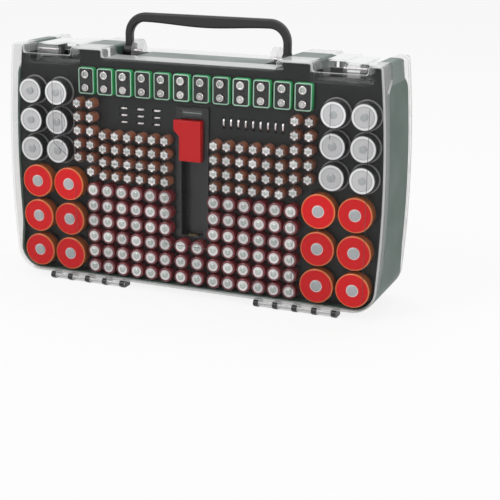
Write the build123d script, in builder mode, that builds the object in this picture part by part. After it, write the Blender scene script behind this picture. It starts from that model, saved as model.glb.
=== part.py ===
"""Two-sided battery storage case: a centre frame with a tray of wells on each side, a clear
cover hinged along the bottom of each side, four clear latches, a folding carry handle and a
built-in cell tester. The wells are loaded with their cells.

Frame: +X to the right seen from the front, +Y towards the rear, +Z up. The origin is at the
centre of the footprint, on the surface that the case stands on. Millimetres.
"""
import os
from math import cos, radians

from build123d import *

os.makedirs("parts", exist_ok=True)

# ---- Case outline, seen from the front ----
BODY_Z0 = 7.5            # underside of the body, above the hinge feet
MID_Z = 233.5            # top edge between the handle feet, and rim of the latch recesses
BLOCK_Z = 242.5          # top of the raised blocks and of the corner lugs
RECESS_Z = 226.0         # floor of the latch recesses
SIDE_MAX_X = 198.8       # half width at the widest height of the bowed sides
SIDE_MAX_Z = 120.0
SIDE_TOP_X = 192.4       # half width at the top
CORNER_R = 25.0          # bottom corners
CORNER_X = 170.0         # centre of a bottom corner's arc
RAIL_Z = 222.0           # where the top rail stands on the frame's side walls
BLOCK_X0, BLOCK_X1 = 90.0, 126.0
LUG_X0 = 178.0
TOP_R = 3.6              # roundings of the top outline
TOP_R_LOSS = 0.6         # share of an inset that those roundings lose

# ---- Depths ----
HALF_DEPTH = 48.0
COVER_WALL = 1.8
COVER_EDGE_R = 3.0       # rounding around the cover's face
RIM_T = 4.0              # front rim of a latch recess
FRAME_WALL = 2.6
SIDE_PART_Y = 33.0       # where cover and frame meet at the sides
NECK_PART_Y = 18.0       # where they meet along the top
BOTTOM_PART_Y = 40.5     # where they meet along the bottom
PART_GAP = 0.4
SHOULDER_Z0, SHOULDER_Z1 = 211.0, 232.0
SOLE_Z0, SOLE_Z1 = 20.0, 62.0

# ---- Hinges ----
HINGE_Y, HINGE_Z = 44.2, 4.0
HINGE_R = 3.3
HINGE_PIN_R = 1.5
KNUCKLE_X0 = 71.0        # inner end of each hinge
FRAME_KNUCKLE_W = 5.0
COVER_KNUCKLE_W = 14.4
KNUCKLE_GAP = 0.3
COVER_KNUCKLES = 4
WEB_HALF_T = 2.2         # half thickness of the web above a cover knuckle
FOOT_INNER_Y = 33.0      # inner end of each flat-bottomed foot
FOOT_STEP_Y = 39.6       # where a foot rises to meet the body
FOOT_TOP_Z = 7.2
PIN_END_GAP = 0.4        # each hinge pin stops this far inside the last knuckle

# ---- Fits ----
RUNNING = 0.1            # radial clearance of a piece that turns on its pin
HELD = 0.03              # radial clearance of a pin where it is held
BURY = 1.0               # how far a rib or web runs into the wall that carries it

# ---- Latches ----
LATCH_W = 19.0
FRONT_LATCH_X = 161.5
REAR_LATCH_X = 140.0
LATCH_PIVOT_Y, LATCH_PIVOT_Z = 27.0, 236.0
LATCH_HUB_R = 3.2
LATCH_PIN_R = 1.2
LATCH_TOP_Z = 242.2
LATCH_T = 2.0
LATCH_NOSE_Y = 31.0      # outer end, beyond the pivot
LATCH_TAIL_Y = 16.0      # inner end, past the middle
LATCH_LIP_Z = 234.6
APRON_Z = 229.4
EAR_T = 2.0
EAR_GAP = 0.3
KEEPER_Z = 234.2
KEEPER_OUTER_Y, KEEPER_INNER_Y = 13.4, 11.4
KEEPER_HALF_W = 8.0
REST_HALF_W, REST_HALF_D = 1.0, 8.0
REST_GAP = 0.3           # between a closed latch and its rest
HUB_NECK = 1.8           # half thickness of the neck from a latch's hub to its plate
LATCH_EDGE_R = 1.2

# ---- Handle ----
HANDLE_X1 = 87.8
HANDLE_LEG_W = 7.2
HANDLE_TOP_Z = 274.2
HANDLE_GRIP_Z = 262.2    # underside of the grip in the middle
HANDLE_ELBOW_Z = 265.0
HANDLE_CORNER_R = 22.0
HANDLE_HALF_D = 4.0
HANDLE_FOOT_R = 6.5
HANDLE_PIVOT_Z = 236.0
HANDLE_PIN_R = 2.0
HANDLE_INNER_R = 14.0    # from the leg's inner face to the grip's underside
HANDLE_EDGE_R = 2.2
WELL_X0 = 68.0
WELL_FLOOR_Z = 228.4
WELL_FLOOR_T = 2.0
EAR_DISC_R = 12.0
EAR_DISC_X0, EAR_DISC_X1 = 70.8, 76.9
EAR_DISC_LIP = 0.6       # how far the handle's pin stops inside its ear

# ---- Trays ----
FRONT_PLATE_Y = -32.0
PLATE_T = 2.4
FRONT_FLOOR_Y = 16.0
SKIRT_T = 1.6
REAR_PLATE_Y = 32.5
REAR_FLOOR_Y = 23.6
WELL_CLEAR = 0.15        # radial room round each cell
TRAY_TOP_Z = RECESS_Z - FRAME_WALL   # flat top of both trays, under the recesses
MEETING_Y = 18.0         # where the skirts of the two trays meet
FASCIA_T = 1.6           # thin plates that close each tray's top up to the case's outline
WINDOW_CLEAR_X, WINDOW_CLEAR_Z = 0.6, 0.5
SEAT_T = 2.0

# ---- Hollow steps of the front tray: spans of |X| and of Z ----
MIDDLE_SEAT_X = (18.2, 114.25)
AAA_SEAT = ((20.4, 102.6), (108.4, 161.4))
AAA_CORNER_SEAT = ((102.6, 114.6), (111.8, 125.4))
AAA_OUTER_SEAT = ((102.6, 128.4), (125.4, 191.8))
C_SEAT = ((132.0, 188.0), (122.2, 208.6))
NINE_V_SEAT_X, NINE_V_SEAT_Z = 124.0, (194.4, 221.8)

# ---- Cells of the front tray: radius, tip and tail, and where they stand ----
AA_R, AA_TIP, AA_TAIL, AA_PITCH = 7.25, -44.0, 6.5, 16.0
AA_Z0, AA_ROWS = 19.0, 6
AA_MID_X, AA_MID_ROWS = 8.9, 3
AA_SIDE_X = 26.2
AAA_R, AAA_TIP, AAA_TAIL = 5.25, -44.0, 0.5
AAA_X0, AAA_COL, AAA_ROW = 26.2, 13.6, 13.68
AAA_Z0, AAA_COLS, AAA_ROWS = 114.5, 6, 4
AAA_OUTER_X = (108.3, 122.5)
AAA_OUTER_Z0, AAA_OUTER_ROWS = 131.3, 5
C_R, C_TIP, C_TAIL = 13.1, -45.0, 4.4
C_X, C_Z0, C_PITCH = (145.8, 175.5), 135.7, 29.6
D_R, D_TIP, D_TAIL = 16.9, -45.4, 15.0
D_X, D_Z0, D_PITCH = (134.0, 170.2), 29.0, 36.7
BIG_ROWS = 3
NINE_V_W, NINE_V_H, NINE_V_R = 17.5, 26.5, 3.0
NINE_V_TIP, NINE_V_TAIL = -40.1, 8.4
NINE_V_PITCH, NINE_V_Z, NINE_V_COUNT = 20.77, 208.1, 12
TERMINAL_Z, TERMINAL_H = 6.6, 2.4
STUD_R, SOCKET_R = 3.4, 4.0
AA_NUB, AAA_NUB, C_NUB, D_NUB = (2.75, 1.2), (1.9, 1.0), (3.75, 1.6), (5.0, 1.6)  # radius, height
COIN_T = 2.1
COIN_A_R, COIN_A_X, COIN_A_Z = 4.75, (-75.6, -57.4, -39.2), (183.0, 176.1, 169.2)
COIN_B_R, COIN_B_X0, COIN_B_PITCH, COIN_B_COUNT, COIN_B_Z = 5.8, 32.7, 7.6, 9, 176.8
COIN_PROUD = 1.5

# ---- Tester ----
TESTER_X, TESTER_Z0, TESTER_Z1 = 17.3, 59.0, 189.5
TESTER_FRONT_Y, TESTER_BACK_Y = -34.0, -12.0
CHANNEL_X, CHANNEL_Z0, CHANNEL_Z1, CHANNEL_BACK_Y = 11.8, 60.8, 178.5, -24.0
SLIDER_X, SLIDER_Z0, SLIDER_Z1, SLIDER_FRONT_Y = 11.4, 137.0, 177.0, -40.2
SLIDER_HOOK_X, SLIDER_HOOK_Z, SLIDER_HOOK_FALL = 17.6, 167.0, 7.0
SLIDER_GAP = 0.3
SLIDER_EDGE_R = 0.8
DISPLAY_X, DISPLAY_Z, DISPLAY_DEPTH, DISPLAY_PROUD = 10.0, (181.2, 187.2), 0.6, 0.3
CONTACT_X, CONTACT_T, CONTACT_SETBACK = 5.0, 0.8, 1.5

# ---- Cells of the rear tray: length, diameter, centre X (each side) and rows of Z ----
LONG_CELL = dict(length=81.0, r=9.7, xs=(139.1,), z0=149.0, pitch=22.4, rows=3)
SHORT_CELL = dict(length=27.0, r=7.8, xs=(77.6,), z0=146.9, pitch=20.1, rows=3)
CAMERA_CELL = dict(length=34.3, r=8.5, xs=(39.6,), z0=70.8, pitch=22.5, rows=6)
RED_CELL = dict(length=40.4, r=6.8, xs=(157.5,), z0=42.4, pitch=17.3, rows=6)
BUTTON_STACK = dict(length=5.4, r=6.7, xs=(129.2,), z0=42.4, pitch=17.3, rows=6)
MICRO_CELL = dict(length=12.0, r=4.4, xs=(101.5,), z0=61.8, pitch=11.1, rows=7)
COIN_ROW = dict(length=26.0, r=1.6, xs=(77.6,), z0=61.8, pitch=11.1, rows=7)
SPARE_AAA = dict(length=42.6, r=4.9, xs=(39.1, 85.5), z0=38.6, pitch=10.4, rows=2)
FOOT_AAA = dict(length=44.4, r=5.1, xs=(23.6, 70.8, 118.0), z0=26.6, pitch=0.0, rows=1)
HALF_CELL = dict(length=25.3, r=7.2, z0=42.4, pitch=16.0, rows=10)
REMOTE_CELL = dict(length=25.5, r=4.7, xs=(31.5, 63.0), z0=203.0, pitch=0.0, rows=1)

# ---- Screws that hold the two trays together ----
SCREW_R, SCREW_HEAD_R, SCREW_HEAD_H = 1.5, 3.0, 1.8
SCREW_TIP_Y = 16.2
SCREW_XZ = ((110.0, 214.0), (180.0, 214.0), (128.0, 15.4))   # on both sides of the middle

SIDES = (-1, 1)
CHOICE = 0.1             # margin when corners or edges are chosen by their place
FAR = 220.0              # beyond the case along X
BELOW, ABOVE, BEYOND = -10.0, 300.0, 70.0   # heights and depth clear of the case


def save(part, name):
    """Label a finished piece and write it as its own STEP file."""
    part.label = name
    export_step(part, f"parts/{name}.step")


def span(a, b):
    """Two numbers in rising order."""
    return (min(a, b), max(a, b))


def slab(x, y, z, mode=Mode.ADD):
    """A box in the active part, given by its spans along X, Y and Z."""
    centre = tuple((low + high) / 2 for low, high in (x, y, z))
    with Locations(centre):
        Box(x[1] - x[0], y[1] - y[0], z[1] - z[0], mode=mode)


def wide_slab(y, z, mode=Mode.ADD):
    """A box in the active part that runs past both sides of the case."""
    slab((-FAR, FAR), y, z, mode)


def rod_x(x, y, z, r, mode=Mode.ADD):
    """A cylinder along X in the active part, over the span x."""
    with Locations(Location(((x[0] + x[1]) / 2, y, z), (0, 90, 0))):
        Cylinder(r, x[1] - x[0], mode=mode)


def front_plane(y):
    """The plane at depth y, seen from the front: local x is +X and local y is +Z."""
    return Plane.XZ.offset(-y)


def outline_sketch(y, inset=0.0, recess_z=RECESS_Z):
    """The case's outline on the plane at depth y, drawn inwards by inset."""
    corner_z = BODY_Z0 + CORNER_R
    side_x = CORNER_X + CORNER_R - inset
    start_z = BODY_Z0 + inset
    diagonal = (CORNER_R - inset) * cos(radians(45))
    top, mid, floor = BLOCK_Z - inset, MID_Z - inset, recess_z - inset
    with BuildSketch(front_plane(y)) as sketch:
        with BuildLine():
            Line((0, start_z), (CORNER_X, start_z))
            ThreePointArc(
                (CORNER_X, start_z),
                (CORNER_X + diagonal, corner_z - diagonal),
                (side_x, corner_z),
            )
            ThreePointArc(
                (side_x, corner_z),
                (SIDE_MAX_X - inset, SIDE_MAX_Z),
                (SIDE_TOP_X - inset, top),
            )
            Polyline(
                (SIDE_TOP_X - inset, top),
                (LUG_X0 + inset, top),
                (LUG_X0 + inset, floor),
                (BLOCK_X1 - inset, floor),
                (BLOCK_X1 - inset, top),
                (BLOCK_X0 + inset, top),
                (BLOCK_X0 + inset, mid),
                (0, mid),
            )
            mirror(about=Plane.YZ)
        make_face()
        corners = [v for v in sketch.vertices() if abs(v.X) > CHOICE and v.Y > floor - CHOICE]
        fillet(corners, TOP_R - TOP_R_LOSS * inset)
    return sketch.sketch


def prism(y0, y1, inset=0.0, recess_z=RECESS_Z, mode=Mode.ADD):
    """The case's outline, drawn inwards by inset, carried from depth y0 to depth y1."""
    towards = 1 if y1 > y0 else -1
    outline = outline_sketch(y0, inset, recess_z)
    extrude(outline, amount=abs(y1 - y0), dir=(0, towards, 0), mode=mode)


def cover_region(sign, gap=0.0):
    """The space on one side of the parting line, as a solid; gap moves the line outwards."""
    side, neck, sole = (y + gap for y in (SIDE_PART_Y, NECK_PART_Y, BOTTOM_PART_Y))
    with BuildPart() as region:
        with BuildSketch(Plane.YZ.offset(-FAR)):
            with BuildLine():
                Polyline(
                    (sign * sole, SOLE_Z0),
                    (sign * sole, BELOW),
                    (sign * BEYOND, BELOW),
                    (sign * BEYOND, ABOVE),
                    (sign * neck, ABOVE),
                    (sign * neck, SHOULDER_Z1),
                )
                Spline(
                    (sign * neck, SHOULDER_Z1),
                    (sign * side, SHOULDER_Z0),
                    tangents=((0, -1), (0, -1)),
                )
                Line((sign * side, SHOULDER_Z0), (sign * side, SOLE_Z1))
                Spline(
                    (sign * side, SOLE_Z1),
                    (sign * sole, SOLE_Z0),
                    tangents=((0, -1), (0, -1)),
                )
            make_face()
        extrude(amount=2 * FAR)
    return region.part


def knuckle_spans():
    """X spans of one hinge's frame knuckles and cover knuckles, from its inner end out."""
    frame_spans, cover_spans = [], []
    x = KNUCKLE_X0
    for _ in range(COVER_KNUCKLES):
        frame_spans.append((x, x + FRAME_KNUCKLE_W))
        x += FRAME_KNUCKLE_W + KNUCKLE_GAP
        cover_spans.append((x, x + COVER_KNUCKLE_W))
        x += COVER_KNUCKLE_W + KNUCKLE_GAP
    frame_spans.append((x, x + FRAME_KNUCKLE_W))
    return frame_spans, cover_spans


FRAME_SPANS, COVER_SPANS = knuckle_spans()
HINGE_SPAN = (FRAME_SPANS[0][0] + PIN_END_GAP, FRAME_SPANS[-1][1] - PIN_END_GAP)


def grid(xs, z0, pitch, rows):
    """Places on a front plane: every x on both sides of the middle, in rows going up."""
    return [(side * x, z0 + row * pitch) for x in xs for side in SIDES for row in range(rows)]


# ---- Where the cells stand ----
AA_SIDE_XS = [AA_SIDE_X + AA_PITCH * column for column in range(6)]
AA_PLACES = grid(AA_SIDE_XS, AA_Z0, AA_PITCH, AA_ROWS) + grid((AA_MID_X,), AA_Z0, AA_PITCH, AA_MID_ROWS)
AAA_INNER_XS = [AAA_X0 + AAA_COL * column for column in range(AAA_COLS)]
AAA_PLACES = (
    grid(AAA_INNER_XS, AAA_Z0, AAA_ROW, AAA_ROWS)
    + grid(AAA_OUTER_X, AAA_OUTER_Z0, AAA_ROW, AAA_OUTER_ROWS)
    + grid(AAA_OUTER_X[:1], AAA_OUTER_Z0 - AAA_ROW, AAA_ROW, 1)
)
C_PLACES = grid(C_X, C_Z0, C_PITCH, BIG_ROWS)
D_PLACES = grid(D_X, D_Z0, D_PITCH, BIG_ROWS)
NINE_V_PLACES = [
    ((index - (NINE_V_COUNT - 1) / 2) * NINE_V_PITCH, NINE_V_Z) for index in range(NINE_V_COUNT)
]
COIN_A_PLACES = [(x, z) for x in COIN_A_X for z in COIN_A_Z]
COIN_B_PLACES = [(COIN_B_X0 + COIN_B_PITCH * index, COIN_B_Z) for index in range(COIN_B_COUNT)]


def cover(sign):
    """A clear cover: a dished shell with a pocket in its top for each pair of latches."""
    end = -1 if sign > 0 else 0
    inner_y = sign * (HALF_DEPTH - COVER_WALL)
    with BuildPart() as cavity:
        prism(inner_y, 0, COVER_WALL)
        fillet(cavity.faces().sort_by(Axis.Y)[end].edges(), COVER_EDGE_R - COVER_WALL)
    with BuildPart() as shell:
        prism(sign * HALF_DEPTH, 0, recess_z=MID_Z)
        fillet(shell.faces().sort_by(Axis.Y)[end].edges(), COVER_EDGE_R)
        for side in SIDES:
            pocket_x = span(side * BLOCK_X1, side * LUG_X0)
            pocket_y = span(0, sign * (HALF_DEPTH - RIM_T))
            slab(pocket_x, pocket_y, (RECESS_Z, ABOVE), Mode.SUBTRACT)
        add(cavity.part, mode=Mode.SUBTRACT)
        add(cover_region(sign), mode=Mode.INTERSECT)
    return shell


def cover_knuckles(sign):
    """The knuckles under a cover's lower edge, each with a web up to the cover's underside."""
    y = sign * HINGE_Y
    with BuildPart() as knuckles:
        for low, high in [x for cover_span in COVER_SPANS for x in both_sides(cover_span)]:
            slab((low, high), (y - WEB_HALF_T, y + WEB_HALF_T), (HINGE_Z, BODY_Z0))
            rod_x((low, high), y, HINGE_Z, HINGE_R)
            rod_x((low, high), y, HINGE_Z, HINGE_PIN_R + RUNNING, Mode.SUBTRACT)
    return knuckles


def latch_ears(sign, latch_x):
    """The ears on a cover's recess floors that hold the pins of its two latches."""
    y = sign * LATCH_PIVOT_Y
    with BuildPart() as ears:
        for centre in (-latch_x, latch_x):
            for side in SIDES:
                near = centre + side * (LATCH_W / 2 + EAR_GAP)
                x = span(near, near + side * EAR_T)
                slab(x, (y - LATCH_HUB_R, y + LATCH_HUB_R), (RECESS_Z, LATCH_PIVOT_Z))
                rod_x(x, y, LATCH_PIVOT_Z, LATCH_HUB_R)
                rod_x(x, y, LATCH_PIVOT_Z, LATCH_PIN_R, Mode.SUBTRACT)
    return ears


def latch(sign, latch_x):
    """A clear latch: a top plate from its hub over the middle, an apron and a tail lip."""
    half = LATCH_W / 2
    x = (latch_x - half, latch_x + half)
    pivot = sign * LATCH_PIVOT_Y
    nose, tail = sign * LATCH_NOSE_Y, -sign * LATCH_TAIL_Y
    under = LATCH_TOP_Z - LATCH_T
    with BuildPart() as piece:
        slab(x, span(nose, tail), (under, LATCH_TOP_Z))
        slab(x, span(nose, nose - sign * COVER_WALL), (APRON_Z, LATCH_TOP_Z))
        slab(x, span(tail, tail + sign * COVER_WALL), (LATCH_LIP_Z, LATCH_TOP_Z))
        slab(x, (pivot - HUB_NECK, pivot + HUB_NECK), (LATCH_PIVOT_Z, LATCH_TOP_Z - BURY))
        rod_x(x, pivot, LATCH_PIVOT_Z, LATCH_HUB_R)
        rod_x(x, pivot, LATCH_PIVOT_Z, LATCH_PIN_R + RUNNING, Mode.SUBTRACT)
        fillet(piece.edges().filter_by(Axis.X).group_by(Axis.Z)[-1], LATCH_EDGE_R)
    return piece


def pins(xs_spans, y, z, r):
    """Straight pins along X, one for each span."""
    with BuildPart() as rods:
        for x in xs_spans:
            rod_x(x, y, z, r)
    return rods


def both_sides(x):
    """A span along X and its mirror image."""
    return [x, (-x[1], -x[0])]


def latch_pin_spans(latch_x):
    """X spans of the two latch pins of one cover."""
    reach = LATCH_W / 2 + EAR_GAP + EAR_T
    return both_sides((latch_x - reach, latch_x + reach))


def band():
    """The band between the covers, all the way round, in the active part."""
    depth = BOTTOM_PART_Y - PART_GAP
    prism(-depth, depth)
    prism(-depth, depth, FRAME_WALL, mode=Mode.SUBTRACT)
    for sign in SIDES:
        add(cover_region(sign, -PART_GAP), mode=Mode.SUBTRACT)


def centre_frame():
    """The bottom and the side walls of the band between the covers."""
    with BuildPart() as frame:
        band()
        wide_slab((-BEYOND, BEYOND), (0, RAIL_Z), Mode.INTERSECT)
    return frame


def top_rail():
    """The top of the band: lugs, recess floors, raised blocks and the two handle wells."""
    with BuildPart() as rail:
        band()
        wide_slab((-BEYOND, BEYOND), (RAIL_Z, ABOVE), Mode.INTERSECT)
        for side in SIDES:
            add_handle_well(side)
    return rail


def add_handle_well(side):
    """A sunk well in the top of the frame for one handle foot and its ear."""
    neck = NECK_PART_Y - PART_GAP
    y = (-neck, neck)
    outer = BLOCK_X0 + FRAME_WALL
    wall = WELL_X0 - FRAME_WALL
    below = WELL_FLOOR_Z - WELL_FLOOR_T
    slab(span(side * WELL_X0, side * BLOCK_X0), y, (WELL_FLOOR_Z, ABOVE), Mode.SUBTRACT)
    slab(span(side * wall, side * outer), y, (below, WELL_FLOOR_Z))
    slab(span(side * wall, side * WELL_X0), y, (below, MID_Z - BURY))
    slab(span(side * BLOCK_X0, side * outer), y, (below, HANDLE_PIVOT_Z + 2 * HANDLE_PIN_R))
    pin_x = span(side * (BLOCK_X0 - BURY), side * (outer + BURY))
    rod_x(pin_x, 0, HANDLE_PIVOT_Z, HANDLE_PIN_R + HELD, Mode.SUBTRACT)


def latch_keepers():
    """Ribs that the latches' lips drop behind, each with a rest for the latch's plate."""
    rest_z = LATCH_TOP_Z - LATCH_T - REST_GAP
    with BuildPart() as keepers:
        for sign, distance in ((1, FRONT_LATCH_X), (-1, REAR_LATCH_X)):
            keeper_y = span(sign * KEEPER_INNER_Y, sign * KEEPER_OUTER_Y)
            for latch_x in (-distance, distance):
                keeper_x = (latch_x - KEEPER_HALF_W, latch_x + KEEPER_HALF_W)
                slab(keeper_x, keeper_y, (RECESS_Z, KEEPER_Z))
                rest_x = (latch_x - REST_HALF_W, latch_x + REST_HALF_W)
                slab(rest_x, (-REST_HALF_D, REST_HALF_D), (RECESS_Z, rest_z))
    return keepers


def hinge_feet():
    """The frame's hinge knuckles, on flat-bottomed feet that the case stands on."""
    with BuildPart() as feet:
        for low, high in [x for frame_span in FRAME_SPANS for x in both_sides(frame_span)]:
            for sign in SIDES:
                x, y = (low, high), sign * HINGE_Y
                slab(x, span(y, sign * FOOT_INNER_Y), (0, FOOT_TOP_Z))
                slab(x, span(sign * FOOT_STEP_Y, sign * FOOT_INNER_Y), (HINGE_Z, BODY_Z0))
                rod_x(x, y, HINGE_Z, HINGE_R)
                rod_x(x, y, HINGE_Z, HINGE_PIN_R, Mode.SUBTRACT)
    return feet


def handle():
    """The carry handle: a grip with a bellied underside on two legs with round feet."""
    inner = HANDLE_X1 - HANDLE_LEG_W
    elbow_x = inner - HANDLE_INNER_R
    leg_z = HANDLE_ELBOW_Z - HANDLE_INNER_R
    bend = HANDLE_INNER_R * (1 - cos(radians(45)))
    with BuildPart() as grip:
        with BuildSketch(front_plane(HANDLE_HALF_D)):
            with BuildLine():
                Line((0, HANDLE_TOP_Z), (HANDLE_X1, HANDLE_TOP_Z))
                Line((HANDLE_X1, HANDLE_TOP_Z), (HANDLE_X1, HANDLE_PIVOT_Z))
                Line((HANDLE_X1, HANDLE_PIVOT_Z), (inner, HANDLE_PIVOT_Z))
                Line((inner, HANDLE_PIVOT_Z), (inner, leg_z))
                ThreePointArc(
                    (inner, leg_z),
                    (inner - bend, HANDLE_ELBOW_Z - bend),
                    (elbow_x, HANDLE_ELBOW_Z),
                )
                Spline(
                    (elbow_x, HANDLE_ELBOW_Z),
                    (0, HANDLE_GRIP_Z),
                    tangents=((-1, 0), (-1, 0)),
                )
                mirror(about=Plane.YZ)
            make_face()
        extrude(amount=2 * HANDLE_HALF_D)
        fillet(grip.edges().filter_by(Axis.Y).group_by(Axis.Z)[-1], HANDLE_CORNER_R)
        for end in (0, -1):
            rim = grip.faces().filter_by(Axis.Y).sort_by(Axis.Y)[end].edges()
            above_feet = rim.filter_by_position(Axis.Z, HANDLE_PIVOT_Z + CHOICE, ABOVE)
            fillet(above_feet, HANDLE_EDGE_R)
        for side in SIDES:
            foot_x = span(side * inner, side * HANDLE_X1)
            rod_x(foot_x, 0, HANDLE_PIVOT_Z, HANDLE_FOOT_R)
            rod_x(foot_x, 0, HANDLE_PIVOT_Z, HANDLE_PIN_R + RUNNING, Mode.SUBTRACT)
    return grip


def handle_ears():
    """Round clear ears on the inner side of the handle's feet, flat where they stand."""
    with BuildPart() as ears:
        for side in SIDES:
            x = span(side * EAR_DISC_X0, side * EAR_DISC_X1)
            rod_x(x, 0, HANDLE_PIVOT_Z, EAR_DISC_R)
            rod_x(x, 0, HANDLE_PIVOT_Z, HANDLE_PIN_R, Mode.SUBTRACT)
        under = (WELL_FLOOR_Z - EAR_DISC_R, WELL_FLOOR_Z)
        slab((-HANDLE_X1, HANDLE_X1), (-EAR_DISC_R, EAR_DISC_R), under, Mode.SUBTRACT)
    return ears


def round_cells(places, r, tip, tail, nub_r, nub_h):
    """Upright cells seen end on: bodies along Y with a raised contact at the tip."""
    with BuildPart() as cells:
        with BuildSketch(front_plane(tail)):
            with Locations(*places):
                Circle(r)
        extrude(amount=tail - tip - nub_h)
        with BuildSketch(front_plane(tip + nub_h)):
            with Locations(*places):
                Circle(nub_r)
        extrude(amount=nub_h)
    return cells


def nine_volt_cells():
    """Flat square cells with two round terminals on the end."""
    face = NINE_V_TIP + TERMINAL_H
    with BuildPart() as cells:
        with BuildSketch(front_plane(NINE_V_TAIL)):
            with Locations(*NINE_V_PLACES):
                RectangleRounded(NINE_V_W, NINE_V_H, NINE_V_R)
        extrude(amount=NINE_V_TAIL - face)
        for rise, r in ((TERMINAL_Z, SOCKET_R), (-TERMINAL_Z, STUD_R)):
            with BuildSketch(front_plane(face)):
                with Locations(*[(x, z + rise) for x, z in NINE_V_PLACES]):
                    Circle(r)
            extrude(amount=face - NINE_V_TIP)
    return cells


def front_coin_cells():
    """Coin cells standing edge-on in narrow slots, lying flat on the left and upright on the right."""
    with BuildPart() as coins:
        for x, z in COIN_A_PLACES:
            with Locations((x, FRONT_PLATE_Y - COIN_PROUD + COIN_A_R, z)):
                Cylinder(COIN_A_R, COIN_T)
        for x, z in COIN_B_PLACES:
            half = COIN_T / 2
            rod_x((x - half, x + half), FRONT_PLATE_Y - COIN_PROUD + COIN_B_R, z, COIN_B_R)
    return coins


def screw_places():
    """Where the tray screws stand, on both sides of the middle."""
    return [(side * x, z) for x, z in SCREW_XZ for side in SIDES]


def tray_block(y0, y1, inset):
    """The case's outline drawn inwards by inset and flat-topped, as a solid from y0 to y1."""
    with BuildPart() as block:
        prism(y0, y1, inset)
        wide_slab(span(y0, y1), (0, TRAY_TOP_Z + FRAME_WALL - inset), Mode.INTERSECT)
    return block.part


def tray_shell(plate_y):
    """Face plate and skirt of a tray in the active part, from its face back to the meeting."""
    inwards = 1 if plate_y < MEETING_Y else -1
    add(tray_block(plate_y, MEETING_Y, FRAME_WALL))
    cavity = tray_block(plate_y + inwards * PLATE_T, MEETING_Y, FRAME_WALL + SKIRT_T)
    add(cavity, mode=Mode.SUBTRACT)


def fascia(plate_y):
    """Thin plates level with a tray's face that fill the case's outline above the tray."""
    inwards = 1 if plate_y < 0 else -1
    with BuildPart() as plates:
        prism(plate_y, plate_y + inwards * FASCIA_T, FRAME_WALL)
        wide_slab((-BEYOND, BEYOND), (TRAY_TOP_Z, ABOVE), Mode.INTERSECT)
    return plates


def seat(x, z, tail):
    """A hollow step on the front floor that a group of cells stands on."""
    behind = FRONT_FLOOR_Y + SEAT_T
    inner_x = (x[0] + SKIRT_T, x[1] - SKIRT_T)
    inner_z = (z[0] + SKIRT_T, z[1] - SKIRT_T)
    slab(x, (tail, behind), z)
    slab(inner_x, (tail + SEAT_T, behind), inner_z, Mode.SUBTRACT)


def front_tray():
    """The front tray: a face plate with a round well for every cell, and a skirt."""
    with BuildPart() as tray:
        tray_shell(FRONT_PLATE_Y)
        cut_wells()
    return tray


def front_tray_floor():
    """The stepped floor that the front cells stand on, inside the front tray's skirt."""
    behind = FRONT_FLOOR_Y + SEAT_T
    with BuildPart() as floor:
        add(tray_block(FRONT_FLOOR_Y, behind, FRAME_WALL + SKIRT_T + HELD))
        aa_edge = MIDDLE_SEAT_X[1]
        aa_step, aa_top = (AA_Z0 + rows * AA_PITCH for rows in (AA_MID_ROWS - 0.5, AA_ROWS - 0.5))
        seat((-aa_edge, aa_edge), (AA_Z0 - AA_R, aa_step), AA_TAIL)
        seat((-NINE_V_SEAT_X, NINE_V_SEAT_X), NINE_V_SEAT_Z, NINE_V_TAIL)
        for side in SIDES:
            for (near, far), z, tail in (
                (MIDDLE_SEAT_X, (aa_step, aa_top), AA_TAIL),
                (*AAA_SEAT, AAA_TAIL),
                (*AAA_CORNER_SEAT, AAA_TAIL),
                (*AAA_OUTER_SEAT, AAA_TAIL),
                (*C_SEAT, C_TAIL),
            ):
                seat(span(side * near, side * far), z, tail)
        with BuildSketch(front_plane(FRONT_FLOOR_Y)):
            with Locations(*D_PLACES):
                Circle(D_R - BURY)
        extrude(amount=FRONT_FLOOR_Y - D_TAIL)
        cut_screw_holes(behind, SEAT_T)
    return floor


def cut_screw_holes(back_y, depth):
    """Holes for the tray screws in the active part, from back_y towards the front."""
    with BuildSketch(front_plane(back_y)) as holes:
        with Locations(*screw_places()):
            Circle(SCREW_R)
    extrude(holes.sketch, amount=depth, dir=(0, -1, 0), mode=Mode.SUBTRACT)


def cut_wells():
    """Every opening in the front tray's face plate."""
    with BuildSketch(front_plane(FRONT_PLATE_Y)) as wells:
        for places, r in ((AA_PLACES, AA_R), (AAA_PLACES, AAA_R), (C_PLACES, C_R), (D_PLACES, D_R)):
            with Locations(*places):
                Circle(r + WELL_CLEAR)
        with Locations(*NINE_V_PLACES):
            RectangleRounded(NINE_V_W + 2 * WELL_CLEAR, NINE_V_H + 2 * WELL_CLEAR, NINE_V_R)
        with Locations(*COIN_A_PLACES):
            Rectangle(2 * COIN_A_R, COIN_T)
        with Locations(*COIN_B_PLACES):
            Rectangle(COIN_T, 2 * COIN_B_R)
        with Locations((0, (TESTER_Z0 + TESTER_Z1) / 2)):
            Rectangle(2 * TESTER_X, TESTER_Z1 - TESTER_Z0)
    extrude(wells.sketch, amount=PLATE_T, dir=(0, 1, 0), mode=Mode.SUBTRACT)


def tester_body():
    """The tester's housing: a tall box in the tray with an open channel for the slider."""
    with BuildPart() as body:
        slab((-TESTER_X, TESTER_X), (TESTER_FRONT_Y, TESTER_BACK_Y), (TESTER_Z0, TESTER_Z1))
        channel_y = (TESTER_FRONT_Y, CHANNEL_BACK_Y)
        slab((-CHANNEL_X, CHANNEL_X), channel_y, (CHANNEL_Z0, CHANNEL_Z1), Mode.SUBTRACT)
        display_y = (TESTER_FRONT_Y, TESTER_FRONT_Y + DISPLAY_DEPTH)
        slab((-DISPLAY_X, DISPLAY_X), display_y, DISPLAY_Z, Mode.SUBTRACT)
    return body


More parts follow.
